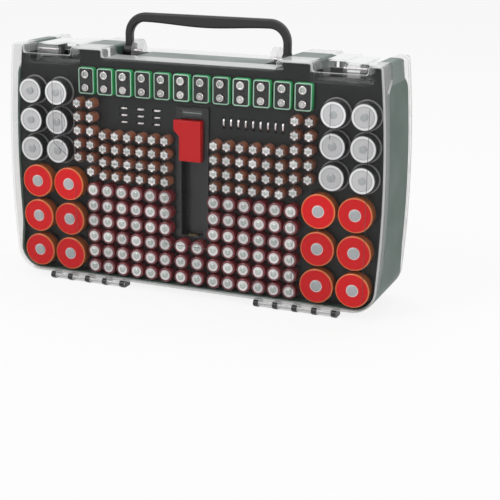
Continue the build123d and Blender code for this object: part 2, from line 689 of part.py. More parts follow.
def tester_slider():
    """The tester's slider: a block in the channel with a hooked flange at its upper left."""
    with BuildPart() as slider:
        back = CHANNEL_BACK_Y - SLIDER_GAP
        hook_back = TESTER_FRONT_Y - SLIDER_GAP
        slab((-SLIDER_X, SLIDER_X), (SLIDER_FRONT_Y, back), (SLIDER_Z0, SLIDER_Z1))
        with BuildSketch(front_plane(hook_back)):
            with BuildLine():
                Polyline(
                    (-SLIDER_X + BURY, SLIDER_Z1),
                    (-SLIDER_HOOK_X, SLIDER_Z1),
                    (-SLIDER_HOOK_X, SLIDER_HOOK_Z),
                    (-SLIDER_X + BURY, SLIDER_HOOK_Z - SLIDER_HOOK_FALL),
                    close=True,
                )
            make_face()
        extrude(amount=hook_back - SLIDER_FRONT_Y)
        fillet(slider.edges().group_by(Axis.Y)[0], SLIDER_EDGE_R)
    return slider


def rear_places(xs, z0, pitch, rows, **_):
    """Places of one kind of rear cell, mirrored about the middle."""
    return grid(xs, z0, pitch, rows)


def lying_cells(places, length, r, nub_r=0.0, nub_h=0.0):
    """Cells lying along X on the rear tray's floor, their contacts pointing outwards."""
    y = REAR_FLOOR_Y + r
    with BuildPart() as cells:
        for x, z in places:
            low, high = x - length / 2, x + length / 2
            if nub_h and x >= 0:
                rod_x((low, high - nub_h), y, z, r)
                rod_x((high - nub_h, high), y, z, nub_r)
            elif nub_h:
                rod_x((low + nub_h, high), y, z, r)
                rod_x((low, low + nub_h), y, z, nub_r)
            else:
                rod_x((low, high), y, z, r)
    return cells


HALF_CELL_PLACES = [
    (0, HALF_CELL["z0"] + HALF_CELL["pitch"] * row) for row in range(HALF_CELL["rows"])
]
REMOTE_PLACES = rear_places(**REMOTE_CELL) + [(0, REMOTE_CELL["z0"])]
ROW_COIN_R, ROW_COIN_GAP = 4.0, 0.6
ROW_COIN_PLACES = [
    (x + step * (2 * ROW_COIN_R + ROW_COIN_GAP), z)
    for x, z in rear_places(**COIN_ROW)
    for step in (-1, 0, 1)
]


def rear_coin_cells():
    """Small coin cells standing edge-on in the rear tray's narrow slots."""
    with BuildPart() as coins:
        with Locations(*[(x, REAR_FLOOR_Y + ROW_COIN_R, z) for x, z in ROW_COIN_PLACES]):
            Cylinder(ROW_COIN_R, 2 * COIN_ROW["r"])
    return coins


def rear_tray():
    """The rear tray: a face plate with a window for every lying cell, and a skirt."""
    layouts = [(rear_places(**kind), kind) for kind in REAR_KINDS.values()]
    layouts += [(HALF_CELL_PLACES, HALF_CELL), (REMOTE_PLACES, REMOTE_CELL)]
    with BuildPart() as tray:
        tray_shell(REAR_PLATE_Y)
        with BuildSketch(front_plane(REAR_PLATE_Y)):
            for places, kind in layouts:
                with Locations(*places):
                    Rectangle(kind["length"] + WINDOW_CLEAR_X, 2 * kind["r"] + WINDOW_CLEAR_Z)
            with Locations(*rear_places(**COIN_ROW)):
                Rectangle(COIN_ROW["length"], 2 * COIN_ROW["r"])
        extrude(amount=PLATE_T, mode=Mode.SUBTRACT)
        cut_screw_holes(REAR_PLATE_Y, PLATE_T)
    return tray


def rear_tray_floor():
    """The flat floor that the rear cells lie on, inside the rear tray's skirt."""
    with BuildPart() as floor:
        add(tray_block(REAR_FLOOR_Y - SEAT_T, REAR_FLOOR_Y, FRAME_WALL + SKIRT_T + HELD))
        cut_screw_holes(REAR_FLOOR_Y, SEAT_T)
    return floor


def tray_screws():
    """Pan-head screws through the rear tray into the front tray's floor."""
    with BuildPart() as screws:
        with BuildSketch(front_plane(REAR_PLATE_Y)):
            with Locations(*screw_places()):
                Circle(SCREW_R)
        extrude(amount=REAR_PLATE_Y - SCREW_TIP_Y)
        with BuildSketch(front_plane(REAR_PLATE_Y + SCREW_HEAD_H)):
            with Locations(*screw_places()):
                Circle(SCREW_HEAD_R)
        extrude(amount=SCREW_HEAD_H)
    return screws


REAR_KINDS = {
    "long_cells": LONG_CELL,
    "short_photo_cells": SHORT_CELL,
    "photo_cells": CAMERA_CELL,
    "red_cells": RED_CELL,
    "button_cells": BUTTON_STACK,
    "micro_cells": MICRO_CELL,
    "spare_aaa_cells": SPARE_AAA,
    "foot_aaa_cells": FOOT_AAA,
}
REAR_NUBS = {
    "long_cells": (3.4, 1.6),
    "photo_cells": (2.6, 1.4),
    "short_photo_cells": (2.6, 1.2),
    "red_cells": (2.4, 1.2),
    "spare_aaa_cells": AAA_NUB,
    "foot_aaa_cells": AAA_NUB,
}

# ---- Frame, trays and what they hold ----
save(centre_frame().part, "centre_frame")
save(top_rail().part, "top_rail")
save(hinge_feet().part, "hinge_feet")
save(latch_keepers().part, "latch_keepers")
save(front_tray().part, "front_tray")
save(front_tray_floor().part, "front_tray_floor")
save(fascia(FRONT_PLATE_Y).part, "front_fascia")
save(rear_tray().part, "rear_tray")
save(rear_tray_floor().part, "rear_tray_floor")
save(fascia(REAR_PLATE_Y).part, "rear_fascia")
save(tray_screws().part, "tray_screws")
save(round_cells(AA_PLACES, AA_R, AA_TIP, AA_TAIL, *AA_NUB).part, "aa_cells")
save(round_cells(AAA_PLACES, AAA_R, AAA_TIP, AAA_TAIL, *AAA_NUB).part, "aaa_cells")
save(round_cells(C_PLACES, C_R, C_TIP, C_TAIL, *C_NUB).part, "c_cells")
save(round_cells(D_PLACES, D_R, D_TIP, D_TAIL, *D_NUB).part, "d_cells")
save(nine_volt_cells().part, "nine_volt_cells")
save(front_coin_cells().part, "front_coin_cells")
for kind_name, kind in REAR_KINDS.items():
    rear_cells = lying_cells(
        rear_places(**kind), kind["length"], kind["r"], *REAR_NUBS.get(kind_name, ())
    )
    save(rear_cells.part, kind_name)
half_cells = lying_cells(HALF_CELL_PLACES, HALF_CELL["length"], HALF_CELL["r"], *AA_NUB)
save(half_cells.part, "half_cells")
remote_cells = lying_cells(REMOTE_PLACES, REMOTE_CELL["length"], REMOTE_CELL["r"], *AAA_NUB)
save(remote_cells.part, "remote_cells")
save(rear_coin_cells().part, "rear_coin_cells")

# ---- Tester ----
save(tester_body().part, "tester_body")
save(tester_slider().part, "tester_slider")
with BuildPart() as tester_display:
    lens_y = (TESTER_FRONT_Y - DISPLAY_PROUD, TESTER_FRONT_Y + DISPLAY_DEPTH)
    slab((-DISPLAY_X, DISPLAY_X), lens_y, DISPLAY_Z)
save(tester_display.part, "tester_display")
with BuildPart() as tester_contacts:
    contact_y = (TESTER_FRONT_Y + CONTACT_SETBACK, CHANNEL_BACK_Y)
    slab((-CONTACT_X, CONTACT_X), contact_y, (CHANNEL_Z0, CHANNEL_Z0 + CONTACT_T))
save(tester_contacts.part, "tester_contacts")

# ---- Covers, their pins and their latches ----
for sign, where, latch_x in ((-1, "front", FRONT_LATCH_X), (1, "rear", REAR_LATCH_X)):
    save(cover(sign).part, f"{where}_cover")
    save(cover_knuckles(sign).part, f"{where}_cover_knuckles")
    save(latch_ears(sign, latch_x).part, f"{where}_latch_ears")
    hinge_pins = pins(both_sides(HINGE_SPAN), sign * HINGE_Y, HINGE_Z, HINGE_PIN_R)
    save(hinge_pins.part, f"{where}_hinge_pins")
    latch_pins = pins(latch_pin_spans(latch_x), sign * LATCH_PIVOT_Y, LATCH_PIVOT_Z, LATCH_PIN_R)
    save(latch_pins.part, f"{where}_latch_pins")
    for side, hand in ((-1, "left"), (1, "right")):
        save(latch(sign, side * latch_x).part, f"{where}_latch_{hand}")

# ---- Handle ----
save(handle().part, "handle")
save(handle_ears().part, "handle_ears")
handle_pin_span = (EAR_DISC_X0 + EAR_DISC_LIP, BLOCK_X0 + FRAME_WALL)
save(pins(both_sides(handle_pin_span), 0, HANDLE_PIVOT_Z, HANDLE_PIN_R).part, "handle_pins")
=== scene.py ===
"""Looks of the two-sided battery storage case, laid out as a Blender add-on.

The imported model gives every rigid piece, in metres: +X to the right seen from the front, +Y towards
the rear, +Z up. The cells are rebuilt here as stacked rings round each solid's own axis, and the
frame, trays, covers, latches, handle and tester keep their solids and get their finishes.
"""

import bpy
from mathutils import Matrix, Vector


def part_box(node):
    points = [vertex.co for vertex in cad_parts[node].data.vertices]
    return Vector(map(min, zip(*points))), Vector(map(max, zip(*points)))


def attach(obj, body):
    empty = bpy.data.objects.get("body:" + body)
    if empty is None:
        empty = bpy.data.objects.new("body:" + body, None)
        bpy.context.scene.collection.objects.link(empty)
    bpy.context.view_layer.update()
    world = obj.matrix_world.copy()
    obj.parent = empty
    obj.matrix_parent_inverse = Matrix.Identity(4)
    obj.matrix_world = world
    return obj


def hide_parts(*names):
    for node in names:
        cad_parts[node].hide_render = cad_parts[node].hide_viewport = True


bl_info = {
    "name": "Battery storage case",
    "version": (1, 0, 0),
    "blender": (4, 5, 0),
    "location": "View3D > Sidebar > Case",
    "description": "Dresses a two-sided case of cells with clear covers, latches and a carry handle",
    "category": "Object",
}

from math import cos, pi, radians, sin, tau

import bmesh
import bpy
import numpy as np
from bpy.props import FloatProperty, FloatVectorProperty, PointerProperty
from mathutils import Matrix, Vector

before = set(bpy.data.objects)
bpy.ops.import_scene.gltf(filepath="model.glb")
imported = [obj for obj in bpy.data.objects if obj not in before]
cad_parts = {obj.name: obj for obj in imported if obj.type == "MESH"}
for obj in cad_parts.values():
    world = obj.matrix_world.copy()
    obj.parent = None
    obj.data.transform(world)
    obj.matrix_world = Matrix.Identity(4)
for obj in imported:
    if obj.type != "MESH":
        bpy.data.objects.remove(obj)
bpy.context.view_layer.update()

MM = 0.001

# ---- Camera at the photograph's viewing angle ----
CAMERA_PLACE = (0.48215, -1.08694, 0.38608)
CAMERA_YAW, CAMERA_PITCH, CAMERA_ROLL = radians(21.756), radians(-16.345), radians(0.748)
CAMERA_LENS, SENSOR = 86.91, 36.0

# ---- Mesh fineness: sides round each kind of cell ----
SMALL_SIDES, LARGE_SIDES, LYING_SIDES, SQUARE_SIDES = 24, 44, 20, 40
SHARP_ANGLE = radians(38)
SEED = 11

# Depth, U and V directions of a solid whose tip faces each way: U x V points out of the tip.
FACING = {
    "front": ((0, 1, 0), (1, 0, 0), (0, 0, 1)),
    "right": ((-1, 0, 0), (0, 1, 0), (0, 0, 1)),
    "left": ((1, 0, 0), (0, 0, 1), (0, 1, 0)),
    "up": ((0, 0, -1), (1, 0, 0), (0, 1, 0)),
}

# ---- Stage: strength of the world's light, the floor's own glow, and where the lamps aim ----
WORLD_LIGHT, FLOOR_GLOW = 0.5, 0.86
LAMP_AIM = (0, 0, 0.12)

# ---- The sunk recesses of the top: upper edge, depth, and the X inside which they lie ----
RECESS_TOP, RECESS_DEPTH, RECESS_X = 233.5 * MM, 12 * MM, 186 * MM
# The top rail is green again beyond this X, at its lugs.
RAIL_LUG_X = 188.5 * MM

# ---- Clear plastic: how clear a recess wall is as painted shade, and what the painted rim reflection and handling marks add ----
RECESS_SHADE_CLEAR, RIM_REFLECTION_ALPHA, HAZE_ALPHA = 0.93, 0.35, 0.004

# ---- Low bars with drawn-in ends: the cover's ribs and the slider's teeth ----
BAR_SIDES = 12
BAR_SCALE = (0.15, 0.7, 1.0, 1.0, 0.7, 0.15)
RIB_TAPER, TOOTH_TAPER = 0.012, 0.15
COVER_WALL = 1.8 * MM

# ---- The tester's slider: its left edge below the hook, and the teeth down that edge ----
SLIDER_EDGE_X = -11.4 * MM
TEETH, TOOTH_HEIGHT, TOOTH_REACH = 7, 1.5 * MM, 1.1 * MM
FIRST_TOOTH, LAST_TOOTH = 2.5 * MM, 21.5 * MM

# ---- AAA ends: how far a notch draws the rim in, as a multiple of its depth ----
PETAL_DRAW = 2.4

# ---- 9 V cells: height and half the distance of the terminals, and the crown's notches ----
TERMINAL_HEIGHT, TERMINAL_RISE = 2.4 * MM, 6.6 * MM
CROWN_NOTCHES, CROWN_NOTCH_DEPTH = 6, 0.35 * MM
NINE_VOLT_CORNER, LEAST_CORNER = 3.0 * MM, 0.5 * MM
# (zone, depth, inset) steps of the body from its end plate, in millimetres; None is the tail.
NINE_VOLT_STEPS = (
    ("plate", 0.5, 7.6), ("plate", 0.5, 1.35), ("rim", 0.1, 1.15), ("rim", 0.0, 0.7),
    ("rim", 0.2, 0.3), ("side", 0.7, 0.0), ("side", None, 0.0),
)
# (zone, depth, radius) steps of the two terminals from the cell's tip, in millimetres.
CROWN_STEPS = (
    ("well", 1.5, 0.4), ("well", 1.5, 2.3), ("metal", 0.3, 2.5), ("metal", 0.0, 2.8),
    ("metal", 0.0, 3.5), ("metal", 0.4, 3.9), ("metal", 2.1, 4.0), ("metal", 2.9, 4.0),
)
STUD_STEPS = (
    ("metal", 0.0, 0.3), ("metal", 0.1, 1.5), ("well", 0.5, 1.7), ("well", 0.5, 2.2),
    ("metal", 0.1, 2.5), ("metal", 0.0, 3.3), ("metal", 0.4, 3.7), ("metal", 2.9, 3.8),
)

# ---- Moulded ribs on the inside of the front cover: ends as (X, Z) in millimetres ----
COVER_RIBS = (
    ((-148, 208), (-148, 145)),
    ((-138, 199), (-138, 143)),
    ((-149, 145), (-131, 131)),
    ((-123, 128), (-28, 128)),
    ((-25, 148), (-25, 52)),
    ((-25, 53), (25, 53)),
    ((-124, 105), (-124, 45)),
    ((110, 98), (110, 15)),
    ((144, 205), (144, 172)),
    ((181, 203), (181, 18)),
)


# ---------------------------------------------------------------- settings
def colour(label, description, default):
    """A colour property in linear values."""
    return FloatVectorProperty(
        name=label, description=description, subtype="COLOR", size=3, min=0, max=1, default=default
    )


def length(label, description, millimetres):
    """A length property, given in millimetres and held in metres."""
    return FloatProperty(
        name=label, description=description, unit="LENGTH", precision=5, default=millimetres * MM
    )


class CaseColours(bpy.types.PropertyGroup):
    """Colours of the case's finishes."""

    frame_green: colour("Frame", "Grey-green of the centre frame", (0.062, 0.104, 0.086))
    tray_black: colour("Trays", "Charcoal of both trays", (0.006, 0.007, 0.007))
    # Pale grey is a painted highlight: it stands in for the light arcs on the C well rims.
    c_collar_highlight: colour("C collars", "Paler rims of the C wells", (0.24, 0.24, 0.24))
    # Painted shade inside the top rail's recesses, and the black of the hinge feet and latch keepers.
    recess_shade_and_black: colour("Recesses", "Black of the recesses and wells", (0.006, 0.007, 0.007))
    handle_black: colour("Handle", "Soft black of the handle", (0.011, 0.011, 0.011))
    clear: colour("Clear plastic", "Tint of covers, latches and ears", (0.78, 0.79, 0.79))
    rib: colour("Cover ribs", "Shade seen along a moulded rib", (0.10, 0.10, 0.10))
    steel: colour("Cell steel", "Bright steel of cell contacts", (0.66, 0.62, 0.62))
    nub: colour("Nubs", "Greener steel of the raised nubs", (0.44, 0.49, 0.46))
    seal: colour("Cell seal", "Dark ring between contact and can", (0.03, 0.03, 0.03))
    aa_film: colour("AA film", "Maroon sleeve", (0.185, 0.020, 0.026))
    aaa_film: colour("AAA film", "Tan copper sleeve", (0.40, 0.150, 0.085))
    c_film: colour("C film", "Black sleeve", (0.016, 0.016, 0.017))
    c_rim: colour("C rim", "White printed rim", (0.84, 0.84, 0.85))
    c_face: colour("C face", "Light grey end disc", (0.58, 0.58, 0.59))
    d_film: colour("D film", "Dark copper sleeve", (0.36, 0.100, 0.026))
    d_rim: colour("D rim", "Bright orange rim", (0.84, 0.22, 0.060))
    d_face: colour("D face", "Red end face", (0.66, 0.004, 0.007))
    large_nub: colour("Large nubs", "Flat grey of the large cells' nubs", (0.40, 0.42, 0.43))
    nine_green: colour("9V film", "Green side film", (0.045, 0.44, 0.150))
    nine_face: colour("9V face", "Dark end plate", (0.008, 0.010, 0.009))
    nine_edge: colour("9V edge", "Pale mint end rim", (0.42, 0.66, 0.52))
    yellow: colour("Yellow film", "Long rear cells", (0.80, 0.43, 0.035))
    silver: colour("Silver film", "Short rear cells", (0.48, 0.50, 0.52))
    photo: colour("Pale film", "Rear cells beside the middle", (0.58, 0.60, 0.62))
    red: colour("Red film", "Rear cells at the sides", (0.62, 0.060, 0.030))
    green: colour("Green film", "Slim rear cells", (0.075, 0.36, 0.040))
    purple: colour("Purple film", "Rear cells in the middle", (0.135, 0.045, 0.200))
    pale_band: colour("Pale band", "Band near the end of a film", (0.80, 0.80, 0.78))
    tester: colour("Tester", "Black tester body", (0.010, 0.010, 0.011))
    slider: colour("Slider", "Red tester slider", (0.54, 0.007, 0.009))
    lens: colour("Display line", "Grey-green line on the tester's lens", (0.16, 0.18, 0.17))
    brass: colour("Brass", "Dull brass of the tester's contacts", (0.30, 0.22, 0.11))


class CellSizes(bpy.types.PropertyGroup):
    """Sizes of the detail on the cells and their wells."""

    aa_cap: length("AA cap", "Radius of the steel end inside the sleeve", 5.2)
    aaa_cap: length("AAA cap", "Radius of the steel end inside the sleeve", 4.5)
    c_cap: length("C disc", "Radius inside the thin grey ring", 9.4)
    c_margin: length("C margin", "Radius where the white ring ends", 12.1)
    d_cap: length("D face", "Radius of the red end face", 15.6)
    crown: length("Crown", "How far an end disc bulges at its rim", 0.25)
    seal_width: length("Seal width", "Width of the ring round an end disc", 0.5)
    seal_depth: length("Seal depth", "Depth of that ring", 0.5)
    lip: length("Lip", "Depth over which the sleeve rounds over", 0.9)
    petal: length("Petal depth", "Depth of the notches round an AAA nub", 0.45)
    collar_width: length("Collar width", "Width of the raised rim of a large well", 1.5)
    collar_height: length("Collar height", "Height of that rim above the tray", 1.3)
    small_collar: length("Small collar", "Width and height of an AA well's rim", 0.45)
    rib_width: length("Rib width", "Width of a moulded rib on the cover", 0.8)
    rib_height: length("Rib height", "Height of such a rib", 0.35)


class CaseSettings(bpy.types.PropertyGroup):
    """Everything that a user may change before the pieces are made."""

    colours: PointerProperty(type=CaseColours)
    sizes: PointerProperty(type=CellSizes)


# ---------------------------------------------------------------- node groups and materials
def node_group(name, inputs, outputs):
    """A shader node group with named sockets: inputs as (name, type, default), outputs as (name, type)."""
    group = bpy.data.node_groups.new(name, "ShaderNodeTree")
    for label, kind, default in inputs:
        group.interface.new_socket(label, in_out="INPUT", socket_type=kind).default_value = default
    for label, kind in outputs:
        group.interface.new_socket(label, in_out="OUTPUT", socket_type=kind)
    return group, group.nodes.new("NodeGroupInput"), group.nodes.new("NodeGroupOutput")


def noise(tree, vector, scale, detail=2.0):
    """A noise node over a vector; scale is a number or a socket."""
    node = tree.nodes.new("ShaderNodeTexNoise")
    node.inputs["Detail"].default_value = detail
    tree.links.new(vector, node.inputs["Vector"])
    feed(tree, scale, node.inputs["Scale"])
    return node.outputs["Fac"]


def feed(tree, value, socket):
    """Link a socket, or set a plain number or colour on it."""
    if isinstance(value, bpy.types.NodeSocket):
        tree.links.new(value, socket)
    else:
        socket.default_value = value


def math(tree, operation, first, second=0.0):
    """One math node."""
    node = tree.nodes.new("ShaderNodeMath")
    node.operation = operation
    feed(tree, first, node.inputs[0])
    feed(tree, second, node.inputs[1])
    return node.outputs[0]


def remap(tree, value, low, high, to_low=0.0, to_high=1.0):
    """A smooth step of value from low to high."""
    node = tree.nodes.new("ShaderNodeMapRange")
    node.interpolation_type = "SMOOTHSTEP"
    for socket, given in zip(node.inputs, (value, low, high, to_low, to_high)):
        feed(tree, given, socket)
    return node.outputs[0]


def mix(tree, factor, first, second, kind="RGBA"):
    """A mix node of colours or of numbers."""
    node = tree.nodes.new("ShaderNodeMix")
    node.data_type = kind
    a, b, result = {"RGBA": (6, 7, 2), "FLOAT": (2, 3, 0)}[kind]
    feed(tree, factor, node.inputs[0])
    feed(tree, first, node.inputs[a])
    feed(tree, second, node.inputs[b])
    return node.outputs[result]


def rgba(values, gain=1.0):
    """A colour property as four numbers, scaled by gain."""
    return (*(min(1.0, gain * v) for v in values), 1.0)


def object_coordinates(tree):
    """The Object output of a Texture Coordinate node."""
    return tree.nodes.new("ShaderNodeTexCoord").outputs["Object"]


def object_axes(tree):
    """X, Y and Z of the Object coordinates."""
    split = tree.nodes.new("ShaderNodeSeparateXYZ")
    tree.links.new(object_coordinates(tree), split.inputs[0])
    return split.outputs


def multiply(tree, first, second):
    """The product of two colours."""
    node = tree.nodes.new("ShaderNodeMixRGB")
    node.blend_type = "MULTIPLY"
    node.inputs["Fac"].default_value = 1.0
    tree.links.new(first, node.inputs["Color1"])
    tree.links.new(second, node.inputs["Color2"])
    return node.outputs["Color"]


def moulded_grain_group():
    """Fine moulded grain and slow handling marks: noise at two scales on Object coordinates."""
    tree, given, result = node_group(
        "Moulded grain",
        [("Scale", "NodeSocketFloat", 1400.0), ("Roughness", "NodeSocketFloat", 0.4)],
        [("Height", "NodeSocketFloat"), ("Roughness", "NodeSocketFloat"), ("Tone", "NodeSocketFloat")],
    )
    place = object_coordinates(tree)
    marks = noise(tree, place, 22.0, 4.0)
    tree.links.new(noise(tree, place, given.outputs["Scale"]), result.inputs["Height"])
    spread = math(tree, "MULTIPLY", math(tree, "SUBTRACT", marks, 0.5), 0.35)
    tree.links.new(
        math(tree, "ADD", given.outputs["Roughness"], spread), result.inputs["Roughness"]
    )
    tree.links.new(marks, result.inputs["Tone"])
    return tree


def turned_metal_group():
    """Pressed steel: fine scratches and a slight change of shine from cell to cell."""
    tree, given, result = node_group(
        "Pressed steel",
        [("Base", "NodeSocketColor", (0.6, 0.6, 0.6, 1)), ("Roughness", "NodeSocketFloat", 0.3)],
        [
            ("Color", "NodeSocketColor"),
            ("Roughness", "NodeSocketFloat"),
            ("Height", "NodeSocketFloat"),
        ],
    )
    place = object_coordinates(tree)
    stretch = tree.nodes.new("ShaderNodeMapping")
    stretch.inputs["Scale"].default_value = (1.0, 1.0, 0.12)
    tree.links.new(place, stretch.inputs["Vector"])
    scratch = noise(tree, stretch.outputs["Vector"], 5200.0, 3.0)
    tone = tree.nodes.new("ShaderNodeAttribute")
    tone.attribute_name = "tone"
    half_tone = math(tree, "MULTIPLY", tone.outputs["Fac"], 0.5)
    worn = math(tree, "ADD", math(tree, "MULTIPLY", scratch, 0.5), half_tone)
    grey = remap(tree, worn, 0.1, 0.9, 0.78, 1.12)
    tree.links.new(multiply(tree, given.outputs["Base"], grey), result.inputs["Color"])
    shift = math(tree, "MULTIPLY", math(tree, "SUBTRACT", worn, 0.5), 0.25)
    tree.links.new(math(tree, "ADD", given.outputs["Roughness"], shift), result.inputs["Roughness"])
    tree.links.new(scratch, result.inputs["Height"])
    return tree


def printed_film_group():
    """Printed sleeve: base colour with a band between two shares of the cell's length, cell by cell."""
    tree, given, result = node_group(
        "Printed film",
        [
            ("Base", "NodeSocketColor", (0.5, 0.1, 0.1, 1)),
            ("Band", "NodeSocketColor", (0.8, 0.8, 0.8, 1)),
            ("Band start", "NodeSocketFloat", 0.0),
            ("Band end", "NodeSocketFloat", 0.0),
        ],
        [("Color", "NodeSocketColor"), ("Height", "NodeSocketFloat")],
    )
    along, tone = (tree.nodes.new("ShaderNodeAttribute") for _ in range(2))
    along.attribute_name, tone.attribute_name = "along", "tone"
    past = math(tree, "GREATER_THAN", along.outputs["Fac"], given.outputs["Band start"])
    short = math(tree, "LESS_THAN", along.outputs["Fac"], given.outputs["Band end"])
    grain = noise(tree, object_coordinates(tree), 700.0, 3.0)
    mottled = math(tree, "ADD", math(tree, "MULTIPLY", grain, 0.4), tone.outputs["Fac"])
    shade = remap(tree, mottled, 0.0, 1.4, 0.82, 1.1)
    banded = mix(tree, math(tree, "MULTIPLY", past, short), given.outputs["Base"], given.outputs["Band"])
    tree.links.new(multiply(tree, banded, shade), result.inputs["Color"])
    tree.links.new(grain, result.inputs["Height"])
    return tree


GROUPS = {
    "grain": moulded_grain_group,
    "steel": turned_metal_group,
    "film": printed_film_group,
}


def use_group(tree, kind, **values):
    """Place the shared group of that kind in a material, with its own values."""
    node = tree.nodes.new("ShaderNodeGroup")
    made = bpy.data.node_groups.get("case_" + kind)
    if made is None:
        made = GROUPS[kind]()
        made.name = "case_" + kind
    node.node_tree = made
    for label, value in values.items():
        feed(tree, value, node.inputs[label.replace("_", " ")])
    return node.outputs


def bump(tree, height, distance, strength=0.4):
    """A bump node's normal from a height."""
    node = tree.nodes.new("ShaderNodeBump")
    node.inputs["Strength"].default_value = strength
    node.inputs["Distance"].default_value = distance
    tree.links.new(height, node.inputs["Height"])
    return node.outputs["Normal"]


def shader(name, **plain):
    """A new material and its Principled BSDF, with plain values set on the shader's own sockets."""
    material = bpy.data.materials.new(name)
    material.use_nodes = True
    bsdf = material.node_tree.nodes["Principled BSDF"]
    for label, value in plain.items():
        bsdf.inputs[label.replace("_", " ")].default_value = value
    return material, material.node_tree, bsdf


def plastic(name, base, roughness=0.4, scale=1400.0, depth=0.04 * MM, variation=0.12, specular=0.5):
    """Moulded plastic with fine grain, and a little lighter and duller where it is handled."""
    material, tree, bsdf = shader(name, Specular_IOR_Level=specular)
    grain = use_group(tree, "grain", Scale=scale, Roughness=roughness)
    shade = mix(tree, grain["Tone"], rgba(base, 1 - variation), rgba(base, 1 + variation))
    tree.links.new(shade, bsdf.inputs["Base Color"])
    tree.links.new(grain["Roughness"], bsdf.inputs["Roughness"])
    tree.links.new(bump(tree, grain["Height"], depth), bsdf.inputs["Normal"])
    return material


def rail_plastic(name, top, recess):
    """Frame plastic that is painted black inside the sunk recesses and wells as painted shade, by height
    and by X.
    """
    material, tree, bsdf = shader(name)
    grain = use_group(tree, "grain", Scale=1400.0, Roughness=0.34)
    place = object_axes(tree)
    # Below the recess top and inside the lugs the rail takes the recess colour: painted shade.
    high = remap(tree, place["Z"], RECESS_TOP - 1.6 * MM, RECESS_TOP - 0.8 * MM)
    outside = remap(tree, math(tree, "ABSOLUTE", place["X"]), RAIL_LUG_X, RAIL_LUG_X + MM)
    green = math(tree, "MAXIMUM", high, outside)
    shade = mix(tree, grain["Tone"], rgba(top, 0.9), rgba(top, 1.1))
    tree.links.new(mix(tree, green, rgba(recess), shade), bsdf.inputs["Base Color"])
    tree.links.new(grain["Roughness"], bsdf.inputs["Roughness"])
    tree.links.new(bump(tree, grain["Height"], 0.03 * MM), bsdf.inputs["Normal"])
    return material


def recess_shade_mask(tree):
    """1 on the walls of the sunk recesses, below the middle of the top and inside both sides, where the
    cover is kept clear as painted shade.
    """
    place = object_axes(tree)
    foot = RECESS_TOP - RECESS_DEPTH
    low = remap(tree, place["Z"], RECESS_TOP - 0.5 * MM, RECESS_TOP, 1.0, 0.0)
    high = remap(tree, place["Z"], foot - 2 * MM, foot)
    inside = remap(tree, math(tree, "ABSOLUTE", place["X"]), RECESS_X - MM, RECESS_X, 1.0, 0.0)
    return math(tree, "MULTIPLY", inside, math(tree, "MULTIPLY", low, high))


def clear_plastic(name, tint, face_alpha, wall_alpha, axis="Y", top_highlight_alpha=0.0, edge_highlight_alpha=0.0):
    """Clear moulding: nearly unseen on faces square to one axis, and milky along walls. The top highlight
    alpha adds a painted highlight on faces that point up. The edge highlight alpha adds a painted highlight
    line on rounded edges beside the face. The grazing rim adds a painted reflection, and the recess walls
    stay clear as painted shade."""
    material, tree, bsdf = shader(name, Base_Color=rgba(tint), IOR=1.49)
    material.surface_render_method = "BLENDED"
    facing = tree.nodes.new("ShaderNodeSeparateXYZ")
    tree.links.new(tree.nodes.new("ShaderNodeTexCoord").outputs["Normal"], facing.inputs[0])
    turned = math(tree, "ABSOLUTE", facing.outputs[axis])
    flat = remap(tree, turned, 0.80, 0.985)
    # Recess walls are kept clear so the black behind shows: painted shade. The painted highlights stay
    # outside it.
    sunk = math(tree, "MULTIPLY", recess_shade_mask(tree), RECESS_SHADE_CLEAR)
    outside_recess_shade = math(tree, "SUBTRACT", 1.0, sunk)
    clear = math(tree, "MAXIMUM", flat, sunk)
    # Faces that point up are made whiter: a painted highlight on the tops.
    top_highlight = remap(tree, facing.outputs["Z"], 0.90, 0.99, 0.0, top_highlight_alpha)
    top_highlight = math(tree, "MULTIPLY", top_highlight, math(tree, "SUBTRACT", 1.0, clear))
    # Rounded edges beside the face get a band of extra white: a painted highlight line.
    rounded = math(
        tree, "MULTIPLY", remap(tree, turned, 0.25, 0.5), remap(tree, turned, 0.75, 0.95, 1.0, 0.0)
    )
    edge_highlight = math(tree, "MULTIPLY", rounded, math(tree, "MULTIPLY", outside_recess_shade, edge_highlight_alpha))
    body = math(tree, "ADD", mix(tree, clear, wall_alpha, face_alpha, "FLOAT"), top_highlight)
    body = math(tree, "ADD", body, edge_highlight)
    # White added at grazing angles: a painted reflection.
    edge = tree.nodes.new("ShaderNodeLayerWeight")
    edge.inputs["Blend"].default_value = 0.25
    rim = math(tree, "MULTIPLY", math(tree, "POWER", edge.outputs["Facing"], 3.0), RIM_REFLECTION_ALPHA)
    rim = math(tree, "MULTIPLY", rim, outside_recess_shade)
    marks = use_group(tree, "grain", Scale=260.0, Roughness=0.12)
    haze = math(tree, "MULTIPLY", marks["Tone"], HAZE_ALPHA)
    alpha = math(tree, "ADD", math(tree, "ADD", body, rim), haze)
    tree.links.new(math(tree, "MINIMUM", alpha, 1.0), bsdf.inputs["Alpha"])
    tree.links.new(marks["Roughness"], bsdf.inputs["Roughness"])
    return material


def steel(name, base, roughness=0.3):
    """Pressed bright steel."""
    material, tree, bsdf = shader(name, Metallic=1.0)
    metal = use_group(tree, "steel", Base=rgba(base), Roughness=roughness)
    tree.links.new(metal["Color"], bsdf.inputs["Base Color"])
    tree.links.new(metal["Roughness"], bsdf.inputs["Roughness"])
    tree.links.new(bump(tree, metal["Height"], 0.015 * MM), bsdf.inputs["Normal"])
    return material


def film(name, base, band=None, start=0.0, end=0.0, roughness=0.3, coat=0.5, specular=0.5):
    """Printed sleeve over a can, with an optional band along its length."""
    material, tree, bsdf = shader(
        name, Roughness=roughness, Coat_Weight=coat, Coat_Roughness=0.12, Specular_IOR_Level=specular
    )
    printed = use_group(
        tree, "film", Base=rgba(base), Band=rgba(band or base), Band_start=start, Band_end=end
    )
    tree.links.new(printed["Color"], bsdf.inputs["Base Color"])
    tree.links.new(bump(tree, printed["Height"], 0.01 * MM), bsdf.inputs["Normal"])
    return material


